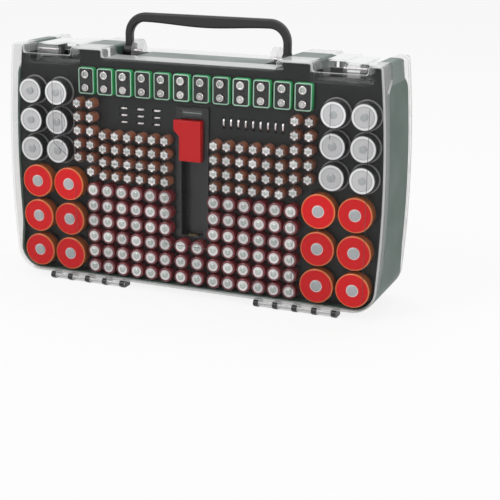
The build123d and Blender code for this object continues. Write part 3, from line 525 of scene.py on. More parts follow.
# ---------------------------------------------------------------- shapes
def node_solids(node):
    """Lowest and highest corners of the separate solids in a CAD node. Corners that share a place are
    merged, and each triangle passes on the lowest label of its corners until nothing changes."""
    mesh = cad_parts[node].data
    corners = np.empty(3 * len(mesh.vertices))
    mesh.vertices.foreach_get("co", corners)
    loops = np.empty(len(mesh.loops), int)
    mesh.loops.foreach_get("vertex_index", loops)
    places, merged = np.unique(np.round(corners.reshape(-1, 3), 6), axis=0, return_inverse=True)
    triangles = merged.reshape(-1)[loops].reshape(-1, 3)
    label = np.arange(len(places))
    while True:
        lowest = label.copy()
        np.minimum.at(lowest, triangles.ravel(), np.repeat(label[triangles].min(axis=1), 3))
        if (lowest == label).all():
            break
        label = lowest
    names, member = np.unique(label, return_inverse=True)
    low, high = np.full((len(names), 3), np.inf), np.full((len(names), 3), -np.inf)
    np.minimum.at(low, member.reshape(-1), places)
    np.maximum.at(high, member.reshape(-1), places)
    return low, high


def tip_frames(low, high, facing):
    """Tips, (depth, U, V) directions and lengths of solids from their boxes and the way each faces:
    a tip is the middle of the box moved half its length against the depth direction."""
    basis = np.array([FACING[way] for way in facing], float)
    reach = ((high - low) / 2 * np.abs(basis[:, 0])).sum(axis=1)
    return (low + high) / 2 - basis[:, 0] * reach[:, None], basis, 2 * reach


def quarter_round(start, end, steps=3):
    """Points of a quarter ellipse between two (depth, radius) pairs: with a from 0 to 90 degrees,
    depth goes as 1 - cos a and radius as sin a, so the curve starts flat and ends steep."""
    a = np.linspace(0, pi / 2, steps + 1)
    depth = start[0] + (end[0] - start[0]) * (1 - np.cos(a))
    radius = start[1] + (end[1] - start[1]) * np.sin(a)
    return list(zip(depth, radius))


def cell_profile(sizes, radius, total, nub, nub_height, cap, collar=0.0, margin=0.0):
    """(zone, depth, radius) steps of a round cell from its tip to its tail: a domed nub, a collar, a
    crowned end disc, a sunk seal, the rolled lip of the sleeve, its wall and a rounded base."""
    face, lip = nub_height, sizes.lip
    steps = [("nub", *p) for p in quarter_round((0, 0.12 * nub), (0.5 * face, nub))]
    steps.append(("nub", face, nub + 0.02 * MM))
    if collar:
        steps.append(("collar", face, nub + collar))
    steps.append(("cap", face, (nub + collar + cap) / 2))
    steps.append(("cap", face - sizes.crown, cap))
    steps.append(("seal", face + sizes.seal_depth - sizes.crown, cap + 0.2 * sizes.seal_width))
    steps.append(("seal", face + sizes.seal_depth - sizes.crown, cap + 0.8 * sizes.seal_width))
    steps.append(("seal", face - sizes.crown, cap + sizes.seal_width))
    if margin:
        steps.append(("margin", face - sizes.crown, margin))
    start = max(margin, cap + sizes.seal_width) + 0.05 * MM
    rolled = quarter_round((face - 1.5 * sizes.crown, start), (face + lip, radius))
    steps += [("lip", *p) for p in rolled]
    steps.append(("body", total - lip, radius))
    steps.append(("base", total, radius - lip))
    return steps


def coin_profile(radius, thickness):
    """(zone, depth, radius) steps of a coin cell: a raised cap, a seal groove, a rolled rim and a base."""
    sunk = 0.12 * thickness
    steps = [("cap", 0.0, 0.1 * radius), ("cap", 0.0, 0.70 * radius), ("cap", sunk, 0.76 * radius)]
    steps.append(("seal", sunk, 0.82 * radius))
    rolled = quarter_round((0.06 * thickness, 0.84 * radius), (0.3 * thickness, radius))
    steps += [("lip", *p) for p in rolled]
    steps += [("body", 0.86 * thickness, radius), ("base", thickness, 0.92 * radius)]
    return steps


def rounded_rectangle(half_u, half_v, corner, sides):
    """Offsets of a rounded rectangle: four quarter circles of the corner's radius, each round its own
    corner centre, joined by straight sides."""
    quarter = np.arange(sides) // (sides // 4)
    share = (np.arange(sides) % (sides // 4)) / (sides // 4 - 1)
    a = (quarter + share) * pi / 2
    centre_u = np.where((quarter == 0) | (quarter == 3), 1, -1) * (half_u - corner)
    centre_v = np.where(quarter < 2, 1, -1) * (half_v - corner)
    return np.column_stack((centre_u + corner * np.cos(a), centre_v + corner * np.sin(a)))


def circles(radii, sides):
    """Offsets of circles, one for each radius: (r cos a, r sin a)."""
    a = np.arange(sides) * tau / sides
    return np.array(radii)[:, None, None] * np.column_stack((np.cos(a), np.sin(a)))


def new_mesh(name, points, faces, face_materials=None, materials=()):
    """A smooth mesh with sharp edges where faces meet at more than the sharp angle."""
    mesh = bpy.data.meshes.new(name)
    mesh.from_pydata(points.tolist(), [], [face for group in faces for face in group.tolist()])
    for material in materials:
        mesh.materials.append(material)
    if face_materials is not None:
        mesh.polygons.foreach_set("material_index", face_materials)
    mesh.shade_smooth()
    mesh.set_sharp_from_angle(angle=SHARP_ANGLE)
    return mesh


def stacked_rings(name, tips, basis, offsets, depths, zones, materials):
    """Solids of stacked rings, one for each tip. A point is tip + depth * D + u * U + v * V, where
    (u, v) are the ring's offsets and D, U, V the solid's directions; both ends close in a fan."""
    count, (rings, sides) = len(tips), depths.shape
    into, across, up = (basis[:, None, None, axis, :] for axis in range(3))
    walls = tips[:, None, None, :] + depths[None, :, :, None] * into
    walls = walls + offsets[None, :, :, :1] * across + offsets[None, :, :, 1:] * up
    fronts = tips + depths[0].min() * basis[:, 0]
    backs = tips + depths[-1].max() * basis[:, 0]
    points = np.concatenate((walls.reshape(count, -1, 3), fronts[:, None], backs[:, None]), axis=1)

    block = rings * sides + 2
    ring, side = np.arange(rings - 1)[:, None] * sides, np.arange(sides)
    after = (side + 1) % sides
    quads = np.stack(
        (ring + side, ring + sides + side, ring + sides + after, ring + after), axis=-1
    ).reshape(-1, 4)
    last = (rings - 1) * sides
    front = np.column_stack((np.full(sides, block - 2), side, after))
    back = np.column_stack((np.full(sides, block - 1), last + after, last + side))
    starts = (np.arange(count) * block)[:, None, None]
    faces = [(part[None] + starts).reshape(-1, part.shape[1]) for part in (quads, front, back)]

    order = list(dict.fromkeys(materials.values()))
    index = [order.index(materials[zone]) for zone in zones]
    on_walls = np.tile(np.repeat(index[1:], sides), count)
    on_ends = np.repeat([index[0], index[-1]], count * sides)
    mesh = new_mesh(name, points.reshape(-1, 3), faces, np.concatenate((on_walls, on_ends)), order)

    share = np.concatenate((depths.ravel(), depths[0, :1], depths[-1, :1])) / depths.max()
    set_attribute(mesh, "along", np.tile(share, count))
    set_attribute(mesh, "tone", np.repeat(np.random.default_rng(SEED).random(count), block))
    return mesh


def set_attribute(mesh, name, values):
    """A number for each point of the mesh."""
    mesh.attributes.new(name, "FLOAT", "POINT").data.foreach_set("value", values)


def round_solids(name, frames, steps, sides, materials, petals=0, petal_depth=0.0):
    """Round stacked rings from a profile of (zone, depth, radius) steps. Petals are notches round the
    end disc: with w = (1 + cos(petals * a)) / 2 the disc sinks by petal_depth * w, and its rim is drawn
    in by that times the draw."""
    tips, basis, _ = frames
    zones = [zone for zone, _, _ in steps]
    depths = np.repeat([[depth] for _, depth, _ in steps], sides, axis=1)
    offsets = circles([radius for _, _, radius in steps], sides)
    if petals:
        wave = (1 + np.cos(petals * np.arange(sides) * tau / sides)) / 2
        rim = zones.index("seal") - 1
        depths[rim - 1] += petal_depth * wave
        drawn_in = 1 - PETAL_DRAW * petal_depth * wave / steps[rim][2]
        offsets[rim : rim + 2] *= drawn_in[None, :, None]
    return stacked_rings(name, tips, basis, offsets, depths, zones, materials)


def turned_rims(name, centres, profile, sides, material):
    """Rings round Y axes: a closed profile of (radius, y) corners carried round each (x, y, z) centre,
    so a point is centre + (r cos a, y, r sin a)."""
    a = np.arange(sides) * tau / sides
    radius, rise = np.array(profile).T
    ring = np.stack(
        (
            radius[None] * np.cos(a)[:, None],
            np.broadcast_to(rise, (sides, len(rise))),
            radius[None] * np.sin(a)[:, None],
        ),
        axis=-1,
    )
    points = centres[:, None, None, :] + ring[None]
    corners = len(profile)
    side, corner = np.arange(sides)[:, None], np.arange(corners)
    next_side, next_corner = (side + 1) % sides * corners, (corner + 1) % corners
    side = side * corners
    quads = np.stack(
        (side + corner, side + next_corner, next_side + next_corner, next_side + corner), axis=-1
    ).reshape(-1, 4)
    starts = (np.arange(len(centres)) * sides * corners)[:, None, None]
    faces = [(quads[None] + starts).reshape(-1, 4)]
    return face_outwards(new_mesh(name, points.reshape(-1, 3), faces, materials=[material]))


def tapered_bars(name, starts, basis, taper, material):
    """Elliptical bars carried along the depth direction from each start: full size between the shares
    taper and 1 - taper of their length, and drawn in towards both ends."""
    share = np.array((0, taper / 3, taper, 1 - taper, 1 - taper / 3, 1))
    depths = np.repeat(share[:, None], BAR_SIDES, axis=1)
    offsets = circles(BAR_SCALE, BAR_SIDES)
    zones = ["bar"] * len(share)
    return face_outwards(stacked_rings(name, starts, basis, offsets, depths, zones, {"bar": material}))


def face_outwards(mesh):
    """Recalculate the normals of a closed mesh so that they point outwards."""
    edit = bmesh.new()
    edit.from_mesh(mesh)
    bmesh.ops.recalc_face_normals(edit, faces=edit.faces)
    edit.to_mesh(mesh)
    edit.free()
    return mesh


def add_piece(name, mesh, body, slot, *nodes):
    """Put a finished mesh in the scene, riding on a body and standing for the CAD nodes named."""
    piece = bpy.data.objects.new(name, mesh)
    bpy.context.scene.collection.objects.link(piece)
    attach(piece, body)
    if nodes:
        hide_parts(*nodes)


def finish_nodes(material, *nodes):
    """Give CAD nodes a material in their own slots."""
    for node in nodes:
        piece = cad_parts[node]
        if not piece.material_slots:
            piece.data.materials.append(material)
        for slot in piece.material_slots:
            slot.material = material


# ---------------------------------------------------------------- operators
class CASE_OT_stage(bpy.types.Operator):
    """Set the camera, the soft lamps, the world and the pale floor"""

    bl_idname = "battery_case.stage"
    bl_label = "Stage"

    def execute(self, context):
        make_camera(context.scene)
        make_world(context.scene)
        make_floor()
        for name, place, size, watts in (
            ("key_lamp", (-0.9, -1.5, 1.7), 1.1, 17.0),
            ("side_lamp", (1.7, -0.7, 1.1), 1.0, 7.0),
            ("top_lamp", (0.1, 0.5, 1.9), 1.2, 9.0),
        ):
            make_lamp(name, place, size, watts)
        context.scene.view_settings.view_transform = "Standard"
        return {"FINISHED"}


def make_camera(scene):
    """A camera from yaw, pitch and roll: forward is yaw and pitch applied to +Y, and up is turned
    about it by the roll."""
    across = Vector((cos(CAMERA_YAW), sin(CAMERA_YAW), 0))
    forward = Vector((-sin(CAMERA_YAW), cos(CAMERA_YAW), 0)) * cos(CAMERA_PITCH)
    forward.z = sin(CAMERA_PITCH)
    up = across.cross(forward) * cos(CAMERA_ROLL) - across * sin(CAMERA_ROLL)
    right = forward.cross(up)
    camera = bpy.data.objects.new("camera", bpy.data.cameras.new("camera"))
    scene.collection.objects.link(camera)
    turn = Matrix((right, up, -forward)).transposed().to_4x4()
    camera.matrix_world = Matrix.Translation(CAMERA_PLACE) @ turn
    camera.data.lens, camera.data.sensor_width = CAMERA_LENS, SENSOR
    scene.camera = camera


def seen_directly(tree):
    """1 for rays from the camera and for those that a glossy or clear surface sends on."""
    path = tree.nodes.new("ShaderNodeLightPath").outputs
    seen = math(tree, "MAXIMUM", path["Is Camera Ray"], path["Is Glossy Ray"])
    return math(tree, "MAXIMUM", seen, path["Is Transmission Ray"])


def make_world(scene):
    """A white surround, dimmer for the light that it casts than for what sees it."""
    world = bpy.data.worlds.new("surround")
    scene.world = world
    world.use_nodes = True
    tree = world.node_tree
    background = tree.nodes["Background"]
    background.inputs["Color"].default_value = (1, 1, 1, 1)
    strength = mix(tree, seen_directly(tree), WORLD_LIGHT, 1.0, "FLOAT")
    tree.links.new(strength, background.inputs["Strength"])


def make_floor():
    """A wide pale floor whose colour is lifted towards white for rays that see it directly."""
    half = 9.0
    points = np.array([(-half, -half, 0), (half, -half, 0), (half, half, 0), (-half, half, 0)])
    material, tree, bsdf = shader("floor_paper", Base_Color=(0.88, 0.88, 0.88, 1), Roughness=0.9)
    glow, blend = tree.nodes.new("ShaderNodeEmission"), tree.nodes.new("ShaderNodeMixShader")
    tree.links.new(math(tree, "MULTIPLY", seen_directly(tree), FLOOR_GLOW), blend.inputs["Fac"])
    tree.links.new(bsdf.outputs["BSDF"], blend.inputs[1])
    tree.links.new(glow.outputs["Emission"], blend.inputs[2])
    tree.links.new(blend.outputs["Shader"], tree.nodes["Material Output"].inputs["Surface"])
    floor = bpy.data.objects.new(
        "floor", new_mesh("floor", points, [np.array([(0, 1, 2, 3)])], None, [material])
    )
    bpy.context.scene.collection.objects.link(floor)


def make_lamp(name, place, size, watts):
    """A soft square lamp that faces the middle of the case."""
    data = bpy.data.lights.new(name, "AREA")
    data.size, data.energy = size, watts
    lamp = bpy.data.objects.new(name, data)
    bpy.context.scene.collection.objects.link(lamp)
    towards = Vector(LAMP_AIM) - Vector(place)
    turn = towards.to_track_quat("-Z", "Y").to_matrix().to_4x4()
    lamp.matrix_world = Matrix.Translation(place) @ turn


class CASE_OT_frame(bpy.types.Operator):
    """Finish the centre frame, its top rail, hinge feet and latch keepers"""

    bl_idname = "battery_case.frame"
    bl_label = "Frame"

    def execute(self, context):
        colours = context.scene.battery_case.colours
        finish_nodes(plastic("frame_green", colours.frame_green, 0.42, specular=0.2), "centre_frame")
        finish_nodes(rail_plastic("rail_green", colours.frame_green, colours.recess_shade_and_black), "top_rail")
        black = plastic("black_moulding", colours.recess_shade_and_black, 0.35)
        finish_nodes(black, "hinge_feet", "latch_keepers")
        return {"FINISHED"}


class CASE_OT_trays(bpy.types.Operator):
    """Finish the two trays, their floors and fascias, and their screws"""

    bl_idname = "battery_case.trays"
    bl_label = "Trays"

    def execute(self, context):
        colours = context.scene.battery_case.colours
        tray = plastic(
            "tray_charcoal", colours.tray_black, 0.42, scale=2200.0, depth=0.05 * MM, specular=0.35
        )
        finish_nodes(tray, "front_tray", "front_tray_floor", "front_fascia")
        finish_nodes(tray, "rear_tray", "rear_tray_floor", "rear_fascia")
        finish_nodes(steel("screw_steel", colours.steel, 0.35), "tray_screws")
        return {"FINISHED"}


class CASE_OT_covers(bpy.types.Operator):
    """Finish the clear covers, their knuckles, latches and pins, and add the cover's moulded ribs"""

    bl_idname = "battery_case.covers"
    bl_label = "Covers and latches"

    def execute(self, context):
        case = context.scene.battery_case
        clear = case.colours.clear
        cover = clear_plastic(
            "cover_clear", clear, face_alpha=0.004, wall_alpha=0.20, top_highlight_alpha=0.45, edge_highlight_alpha=0.45
        )
        finish_nodes(cover, "front_cover", "rear_cover")
        knuckle = clear_plastic("knuckle_clear", clear, face_alpha=0.30, wall_alpha=0.45)
        finish_nodes(knuckle, "front_cover_knuckles", "rear_cover_knuckles")
        ear = clear_plastic(
            "latch_ear_clear", clear, face_alpha=0.06, wall_alpha=0.12, axis="X", edge_highlight_alpha=0.3
        )
        finish_nodes(ear, "front_latch_ears", "rear_latch_ears")
        # The latches' white tops are the painted top highlight.
        latch = clear_plastic(
            "latch_clear", clear, face_alpha=0.06, wall_alpha=0.10, top_highlight_alpha=0.85, edge_highlight_alpha=0.35
        )
        for where in ("front", "rear"):
            finish_nodes(latch, f"{where}_latch_left", f"{where}_latch_right")
        pins = steel("pin_steel", case.colours.steel, 0.25)
        finish_nodes(pins, "front_hinge_pins", "rear_hinge_pins", "front_latch_pins", "rear_latch_pins")
        add_cover_ribs(case)
        return {"FINISHED"}


def add_cover_ribs(case):
    """Low ribs on the inner face of the front cover: ellipses half sunk in it, carried from end to
    end of each run."""
    inner_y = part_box("front_cover")[0].y + COVER_WALL
    ends = np.array(COVER_RIBS, float) * MM
    starts = np.insert(ends[:, 0], 1, inner_y, axis=1)
    runs = np.insert(ends[:, 1] - ends[:, 0], 1, 0.0, axis=1)
    inward = np.array((0.0, 1.0, 0.0))
    across = np.cross(inward, runs / np.linalg.norm(runs, axis=1)[:, None])
    heights = np.tile(inward * case.sizes.rib_height, (len(runs), 1))
    basis = np.stack((runs, across * case.sizes.rib_width / 2, heights), axis=1)
    material, tree, bsdf = shader("cover_rib", Alpha=0.30, Roughness=0.2)
    grain = use_group(tree, "grain", Scale=900.0, Roughness=0.2)
    shade = mix(tree, grain["Tone"], rgba(case.colours.rib, 0.8), rgba(case.colours.rib, 1.2))
    tree.links.new(shade, bsdf.inputs["Base Color"])
    mesh = tapered_bars("cover_ribs", starts, basis, RIB_TAPER, material)
    add_piece("cover_ribs", mesh, "front_cover", "clear_plastic")


class CASE_OT_handle(bpy.types.Operator):
    """Finish the carry handle, its clear ears and its pins"""

    bl_idname = "battery_case.handle"
    bl_label = "Handle"

    def execute(self, context):
        colours = context.scene.battery_case.colours
        black = plastic("handle_black", colours.handle_black, 0.46, scale=2600.0, depth=0.08 * MM)
        finish_nodes(black, "handle")
        ear = clear_plastic(
            "ear_clear", colours.clear, face_alpha=0.16, wall_alpha=0.10, axis="X", edge_highlight_alpha=0.3
        )
        finish_nodes(ear, "handle_ears")
        finish_nodes(steel("handle_pin_steel", colours.steel, 0.3), "handle_pins")
        return {"FINISHED"}


class CASE_OT_tester(bpy.types.Operator):
    """Finish the tester's body, slider, lens and contacts, and add the slider's grip teeth"""

    bl_idname = "battery_case.tester"
    bl_label = "Tester"

    def execute(self, context):
        case = context.scene.battery_case
        red = plastic("slider_red", case.colours.slider, 0.34, variation=0.08, specular=0.25)
        finish_nodes(plastic("tester_black", case.colours.tester, 0.36), "tester_body")
        finish_nodes(red, "tester_slider")
        finish_nodes(striped_lens(case.colours.tester, case.colours.lens), "tester_display")
        finish_nodes(steel("contact_brass", case.colours.brass, 0.25), "tester_contacts")
        add_slider_teeth(red)
        return {"FINISHED"}


def striped_lens(dark, pale):
    """The tester's lens: glossy black with one thin pale line across the middle of its height."""
    material, tree, bsdf = shader("display_lens", Coat_Weight=0.6, Coat_Roughness=0.06)
    low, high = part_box("tester_display")
    middle, half = (low.z + high.z) / 2, 0.55 * MM
    away = math(tree, "ABSOLUTE", math(tree, "SUBTRACT", object_axes(tree)["Z"], middle))
    line = remap(tree, away, half, 1.3 * half, 1.0, 0.0)
    tree.links.new(mix(tree, line, rgba(dark), rgba(pale)), bsdf.inputs["Base Color"])
    grain = use_group(tree, "grain", Scale=1400.0, Roughness=0.2)
    tree.links.new(grain["Roughness"], bsdf.inputs["Roughness"])
    return material


def add_slider_teeth(material):
    """Grip teeth down the slider's left edge: ellipses half sunk in it, carried along Y from just
    behind the slider's face to just in front of the tester's body."""
    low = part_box("tester_slider")[0]
    heights = np.linspace(low.z + FIRST_TOOTH, low.z + LAST_TOOTH, TEETH)
    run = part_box("tester_body")[0].y - low.y - 0.7 * MM
    edges, fronts = np.full(TEETH, SLIDER_EDGE_X), np.full(TEETH, low.y + 0.3 * MM)
    starts = np.column_stack((edges, fronts, heights))
    directions = np.array(((0, run, 0), (0, 0, TOOTH_HEIGHT / 2), (TOOTH_REACH, 0, 0)))
    mesh = tapered_bars("slider_teeth", starts, np.tile(directions, (TEETH, 1, 1)), TOOTH_TAPER, material)
    add_piece("slider_teeth", mesh, "tester_slider", "slider_plastic")


class CASE_OT_aa_cells(bpy.types.Operator):
    """Replace the AA solids by cells with a domed nub, a steel cap and a lipped maroon sleeve"""

    bl_idname = "battery_case.aa_cells"
    bl_label = "AA cells"

    def execute(self, context):
        case = context.scene.battery_case
        sleeve = film("aa_sleeve", case.colours.aa_film, roughness=0.28)
        add_front_cells(
            case, "aa_cells", "aa_jacket", SMALL_SIDES, sleeve, None,
            nub=2.75, nub_height=1.2, cap=case.sizes.aa_cap,
        )
        return {"FINISHED"}


class CASE_OT_aaa_cells(bpy.types.Operator):
    """Replace the AAA solids by cells with a notched silvery end and a tan copper sleeve"""

    bl_idname = "battery_case.aaa_cells"
    bl_label = "AAA cells"

    def execute(self, context):
        case = context.scene.battery_case
        sleeve = film("aaa_sleeve", case.colours.aaa_film, roughness=0.28)
        add_front_cells(
            case, "aaa_cells", "aaa_jacket", SMALL_SIDES, sleeve, None,
            nub=1.9, nub_height=1.0, cap=case.sizes.aaa_cap, petals=6,
        )
        return {"FINISHED"}


class CASE_OT_c_cells(bpy.types.Operator):
    """Replace the C solids by black-sleeved cells with a white rim round a light grey end disc"""

    bl_idname = "battery_case.c_cells"
    bl_label = "C cells"

    def execute(self, context):
        case = context.scene.battery_case
        sleeve = film("c_sleeve", case.colours.c_film, roughness=0.35)
        rim = film("c_rim", case.colours.c_rim, roughness=0.35)
        face = film("c_face", case.colours.c_face, roughness=0.32)
        add_front_cells(
            case, "c_cells", "c_jacket", LARGE_SIDES, sleeve, face,
            nub=3.75, nub_height=1.6, cap=case.sizes.c_cap, collar=0.6, margin=case.sizes.c_margin, rim=rim,
        )
        return {"FINISHED"}


class CASE_OT_d_cells(bpy.types.Operator):
    """Replace the D solids by copper cells with a red end face and a ringed nub"""

    bl_idname = "battery_case.d_cells"
    bl_label = "D cells"

    def execute(self, context):
        case = context.scene.battery_case
        sleeve = film("d_sleeve", case.colours.d_film, roughness=0.26)
        rim = film("d_rim", case.colours.d_rim, roughness=0.26)
        face = film("d_face", case.colours.d_face, roughness=0.45, coat=0.0, specular=0.25)
        add_front_cells(
            case, "d_cells", "d_jacket", LARGE_SIDES, sleeve, face,
            nub=5.0, nub_height=1.6, cap=case.sizes.d_cap, collar=1.0, rim=rim,
        )
        return {"FINISHED"}


def add_front_cells(
    case, node, slot, sides, sleeve, face, nub, nub_height, cap, collar=0.0, margin=0.0, petals=0, rim=None
):
    """Cells of one kind in the front tray, on the axes of the node's solids; nub sizes in millimetres."""
    low, high = node_solids(node)
    frames = tip_frames(low, high, ["front"] * len(low))
    radius = (high - low)[0, 0] / 2
    bright = steel(node + "_steel", case.colours.steel)
    if face:
        nub_look = film(node + "_nub", case.colours.large_nub, roughness=0.3)
        seal = film(node + "_ring", case.colours.large_nub, roughness=0.3) if margin else rim
    else:
        nub_look = steel(node + "_nub", case.colours.nub, 0.22)
        seal = plastic(node + "_seal", case.colours.seal, 0.45)
    zones = {
        "nub": nub_look, "collar": bright, "cap": face or bright, "seal": seal,
        "margin": rim or bright, "lip": sleeve if margin else rim or sleeve, "body": sleeve, "base": bright,
    }
    steps = cell_profile(
        case.sizes, radius, frames[2].max(), nub * MM, nub_height * MM, cap, collar * MM, margin
    )
    mesh = round_solids(node + "_look", frames, steps, sides, zones, petals, case.sizes.petal)
    add_piece(node + "_look", mesh, "case", slot, node)


class CASE_OT_nine_volt_cells(bpy.types.Operator):
    """Replace the 9 V solids by green cells with a mint rim, a dark end plate and two terminals"""

    bl_idname = "battery_case.nine_volt_cells"
    bl_label = "9 V cells"

    def execute(self, context):
        case = context.scene.battery_case
        low, high = node_solids("nine_volt_cells")
        tips, basis, total = tip_frames(low, high, ["front"] * len(low))
        plates = tips + basis[:, 0] * TERMINAL_HEIGHT
        half_u, half_v = (high - low)[0, 0] / 2, (high - low)[0, 2] / 2
        zones, depth, insets = zip(*NINE_VOLT_STEPS)
        rings = []
        for inset in np.array(insets) * MM:
            corner = max(NINE_VOLT_CORNER - inset, LEAST_CORNER)
            rings.append(rounded_rectangle(half_u - inset, half_v - inset, corner, SQUARE_SIDES))
        tail = total.max() - TERMINAL_HEIGHT
        depth = np.array([tail if d is None else d * MM for d in depth])
        depths = np.repeat(depth[:, None], SQUARE_SIDES, axis=1)
        materials = {
            "plate": plastic("nine_volt_plate", case.colours.nine_face, 0.4),
            "rim": film("nine_volt_rim", case.colours.nine_edge, roughness=0.3),
            "side": film("nine_volt_side", case.colours.nine_green, case.colours.pale_band, 0.20, 0.26),
        }
        mesh = stacked_rings("nine_volt_look", plates, basis, np.array(rings), depths, zones, materials)
        add_piece("nine_volt_look", mesh, "case", "nine_volt_jacket", "nine_volt_cells")
        bright = steel("nine_volt_steel", case.colours.steel, 0.25)
        grey = steel("nine_volt_well", case.colours.nub, 0.3)
        add_terminals(tips, basis, bright, grey)
        return {"FINISHED"}


def add_terminals(tips, basis, bright, grey):
    """The 9 V terminals, turned profiles: a crown with a sunk middle above, whose rim dips by
    notch * (1 + cos(notches * a)) / 2, and a ringed stud without notches below."""
    a = np.arange(SMALL_SIDES) * tau / SMALL_SIDES
    wave = (1 + np.cos(CROWN_NOTCHES * a)) / 2
    for name, steps, rise, notch in (
        ("crowns", CROWN_STEPS, TERMINAL_RISE, CROWN_NOTCH_DEPTH),
        ("studs", STUD_STEPS, -TERMINAL_RISE, 0.0),
    ):
        zones, depth, radii = zip(*steps)
        depths = np.repeat(np.array(depth)[:, None] * MM, SMALL_SIDES, axis=1)
        depths[3:5] += notch * wave
        offsets = circles(np.array(radii) * MM, SMALL_SIDES)
        places = tips + np.array((0, 0, rise))
        materials = {"metal": bright, "well": grey}
        mesh = stacked_rings("nine_volt_" + name, places, basis, offsets, depths, zones, materials)
        add_piece("nine_volt_" + name, mesh, "case", "nine_volt_jacket")


class CASE_OT_coin_cells(bpy.types.Operator):
    """Replace the coin cell solids of both trays by capped coins with a seal and a rolled rim"""

    bl_idname = "battery_case.coin_cells"
    bl_label = "Coin cells"

    def execute(self, context):
        case = context.scene.battery_case
        bright = steel("coin_steel", case.colours.steel, 0.22)
        dark = plastic("coin_seal", case.colours.seal, 0.5)
        zones = {"cap": bright, "seal": dark, "lip": bright, "body": bright, "base": bright}
        for node in ("front_coin_cells", "rear_coin_cells", "button_cells"):
            low, high = node_solids(node)
            thin = (high - low).argmin(axis=1)
            for axis, way in ((0, "right"), (2, "up")):
                chosen = thin == axis
                if not chosen.any():
                    continue
                frames = tip_frames(low[chosen], high[chosen], [way] * chosen.sum())
                radius = (high - low)[chosen].max() / 2
                steps = coin_profile(radius, frames[2].max())
                name = f"{node}_{way}"
                mesh = round_solids(name, frames, steps, LYING_SIDES, zones)
                add_piece(name, mesh, "case", "coin_steel", node)
        return {"FINISHED"}


class CASE_OT_rear_cells(bpy.types.Operator):
    """Replace the lying cells of the rear tray by sleeved cells with banded films"""

    bl_idname = "battery_case.rear_cells"
    bl_label = "Rear cells"

    def execute(self, context):
        case = context.scene.battery_case
        colours = case.colours
        for node, slot, base, nub, nub_height, band in (
            ("long_cells", "yellow_jacket", colours.yellow, 3.4, 1.6, (0.62, 0.70)),
            ("short_photo_cells", "silver_jacket", colours.silver, 2.6, 1.2, (0.30, 0.42)),
            ("photo_cells", "photo_jacket", colours.photo, 2.6, 1.4, (0.25, 0.38)),
            ("red_cells", "red_jacket", colours.red, 2.4, 1.2, (0.70, 0.78)),
            ("micro_cells", "silver_jacket", colours.silver, 1.6, 0.7, (0.45, 0.60)),
            ("spare_aaa_cells", "green_jacket", colours.green, 1.9, 1.0, (0.66, 0.76)),
            ("foot_aaa_cells", "green_jacket", colours.green, 1.9, 1.0, (0.66, 0.76)),
            ("half_cells", "purple_jacket", colours.purple, 2.75, 1.2, (0.60, 0.72)),
            ("remote_cells", "green_jacket", colours.green, 1.9, 1.0, (0.55, 0.68)),
        ):
            sleeve = film(node + "_sleeve", base, colours.pale_band, *band)
            add_lying_cells(case, node, slot, sleeve, nub, nub_height)
        return {"FINISHED"}


def add_lying_cells(case, node, slot, sleeve, nub, nub_height):
    """Cells that lie along X with their nubs away from the middle; nub sizes in millimetres."""
    low, high = node_solids(node)
    facing = np.where((low + high)[:, 0] > -MM, "right", "left")
    frames = tip_frames(low, high, facing)
    radius = (high - low)[0, 2] / 2
    bright = steel(node + "_steel", case.colours.steel)
    dark = plastic(node + "_seal", case.colours.seal, 0.45)
    zones = {"nub": bright, "cap": bright, "seal": dark, "lip": sleeve, "body": sleeve, "base": bright}
    steps = cell_profile(case.sizes, radius, frames[2].max(), nub * MM, nub_height * MM, 0.68 * radius)
    mesh = round_solids(node + "_look", frames, steps, LYING_SIDES, zones)
    add_piece(node + "_look", mesh, "case", slot, node)


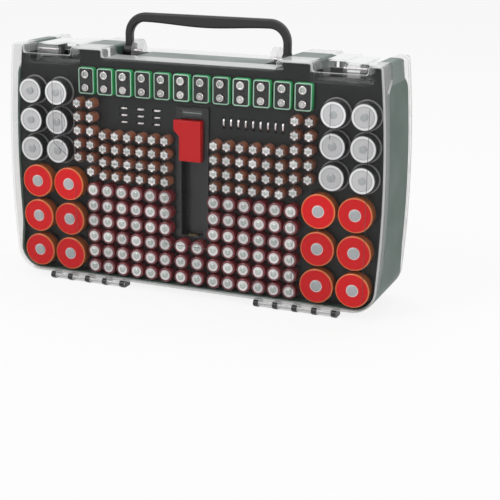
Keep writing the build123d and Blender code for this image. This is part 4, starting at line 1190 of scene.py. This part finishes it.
class CASE_OT_well_collars(bpy.types.Operator):
    """Add the raised rims of the front tray's wells; the C rims are pale grey as a painted highlight"""

    bl_idname = "battery_case.well_collars"
    bl_label = "Well collars"

    def execute(self, context):
        case = context.scene.battery_case
        tray_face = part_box("front_tray")[0].y
        dark = plastic("collar_charcoal", case.colours.tray_black, 0.34, scale=2200.0)
        pale = plastic("collar_painted_highlight", case.colours.c_collar_highlight, 0.34, scale=2200.0)
        small = case.sizes.small_collar
        for node, width, height, sides in (
            ("c_cells", case.sizes.collar_width, case.sizes.collar_height, LARGE_SIDES),
            ("d_cells", 0.6 * case.sizes.collar_width, case.sizes.collar_height, LARGE_SIDES),
            ("aa_cells", small, small, SMALL_SIDES),
            ("aaa_cells", small, small, SMALL_SIDES),
        ):
            low, high = node_solids(node)
            centres = (low + high) / 2
            centres[:, 1] = tray_face
            inner = (high - low)[0, 0] / 2 + 0.15 * MM
            profile = [
                (inner, 0.3 * MM), (inner, -0.8 * height), (inner + 0.25 * width, -height),
                (inner + 0.75 * width, -height), (inner + width, -0.8 * height), (inner + width, 0.3 * MM),
            ]
            name = node + "_collars"
            # The C rims' pale grey is a painted highlight.
            rim = pale if node == "c_cells" else dark
            add_piece(name, turned_rims(name, centres, profile, sides, rim), "case", "tray_plastic")
        return {"FINISHED"}


OPERATORS = (
    CASE_OT_stage,
    CASE_OT_frame,
    CASE_OT_trays,
    CASE_OT_covers,
    CASE_OT_handle,
    CASE_OT_tester,
    CASE_OT_aa_cells,
    CASE_OT_aaa_cells,
    CASE_OT_c_cells,
    CASE_OT_d_cells,
    CASE_OT_nine_volt_cells,
    CASE_OT_coin_cells,
    CASE_OT_rear_cells,
    CASE_OT_well_collars,
)


class CASE_PT_panel(bpy.types.Panel):
    """The case's colours and sizes, and a button for each group of pieces"""

    bl_label = "Battery case"
    bl_idname = "CASE_PT_panel"
    bl_space_type = "VIEW_3D"
    bl_region_type = "UI"
    bl_category = "Case"

    def draw(self, context):
        layout = self.layout
        case = context.scene.battery_case
        for group in (case.colours, case.sizes):
            for name in group.__annotations__:
                layout.prop(group, name)
        for operator in OPERATORS:
            layout.operator(operator.bl_idname)


CLASSES = (CaseColours, CellSizes, CaseSettings, *OPERATORS, CASE_PT_panel)


def register():
    """Register every class and hang the settings on the scene."""
    for item in CLASSES:
        bpy.utils.register_class(item)
    bpy.types.Scene.battery_case = PointerProperty(type=CaseSettings)


def unregister():
    """Take the settings and the classes away again."""
    del bpy.types.Scene.battery_case
    for item in reversed(CLASSES):
        bpy.utils.unregister_class(item)


def main():
    """Make every piece in order."""
    register()
    for operator in OPERATORS:
        getattr(bpy.ops.battery_case, operator.bl_idname.split(".")[1])()


if __name__ == "__main__":
    main()
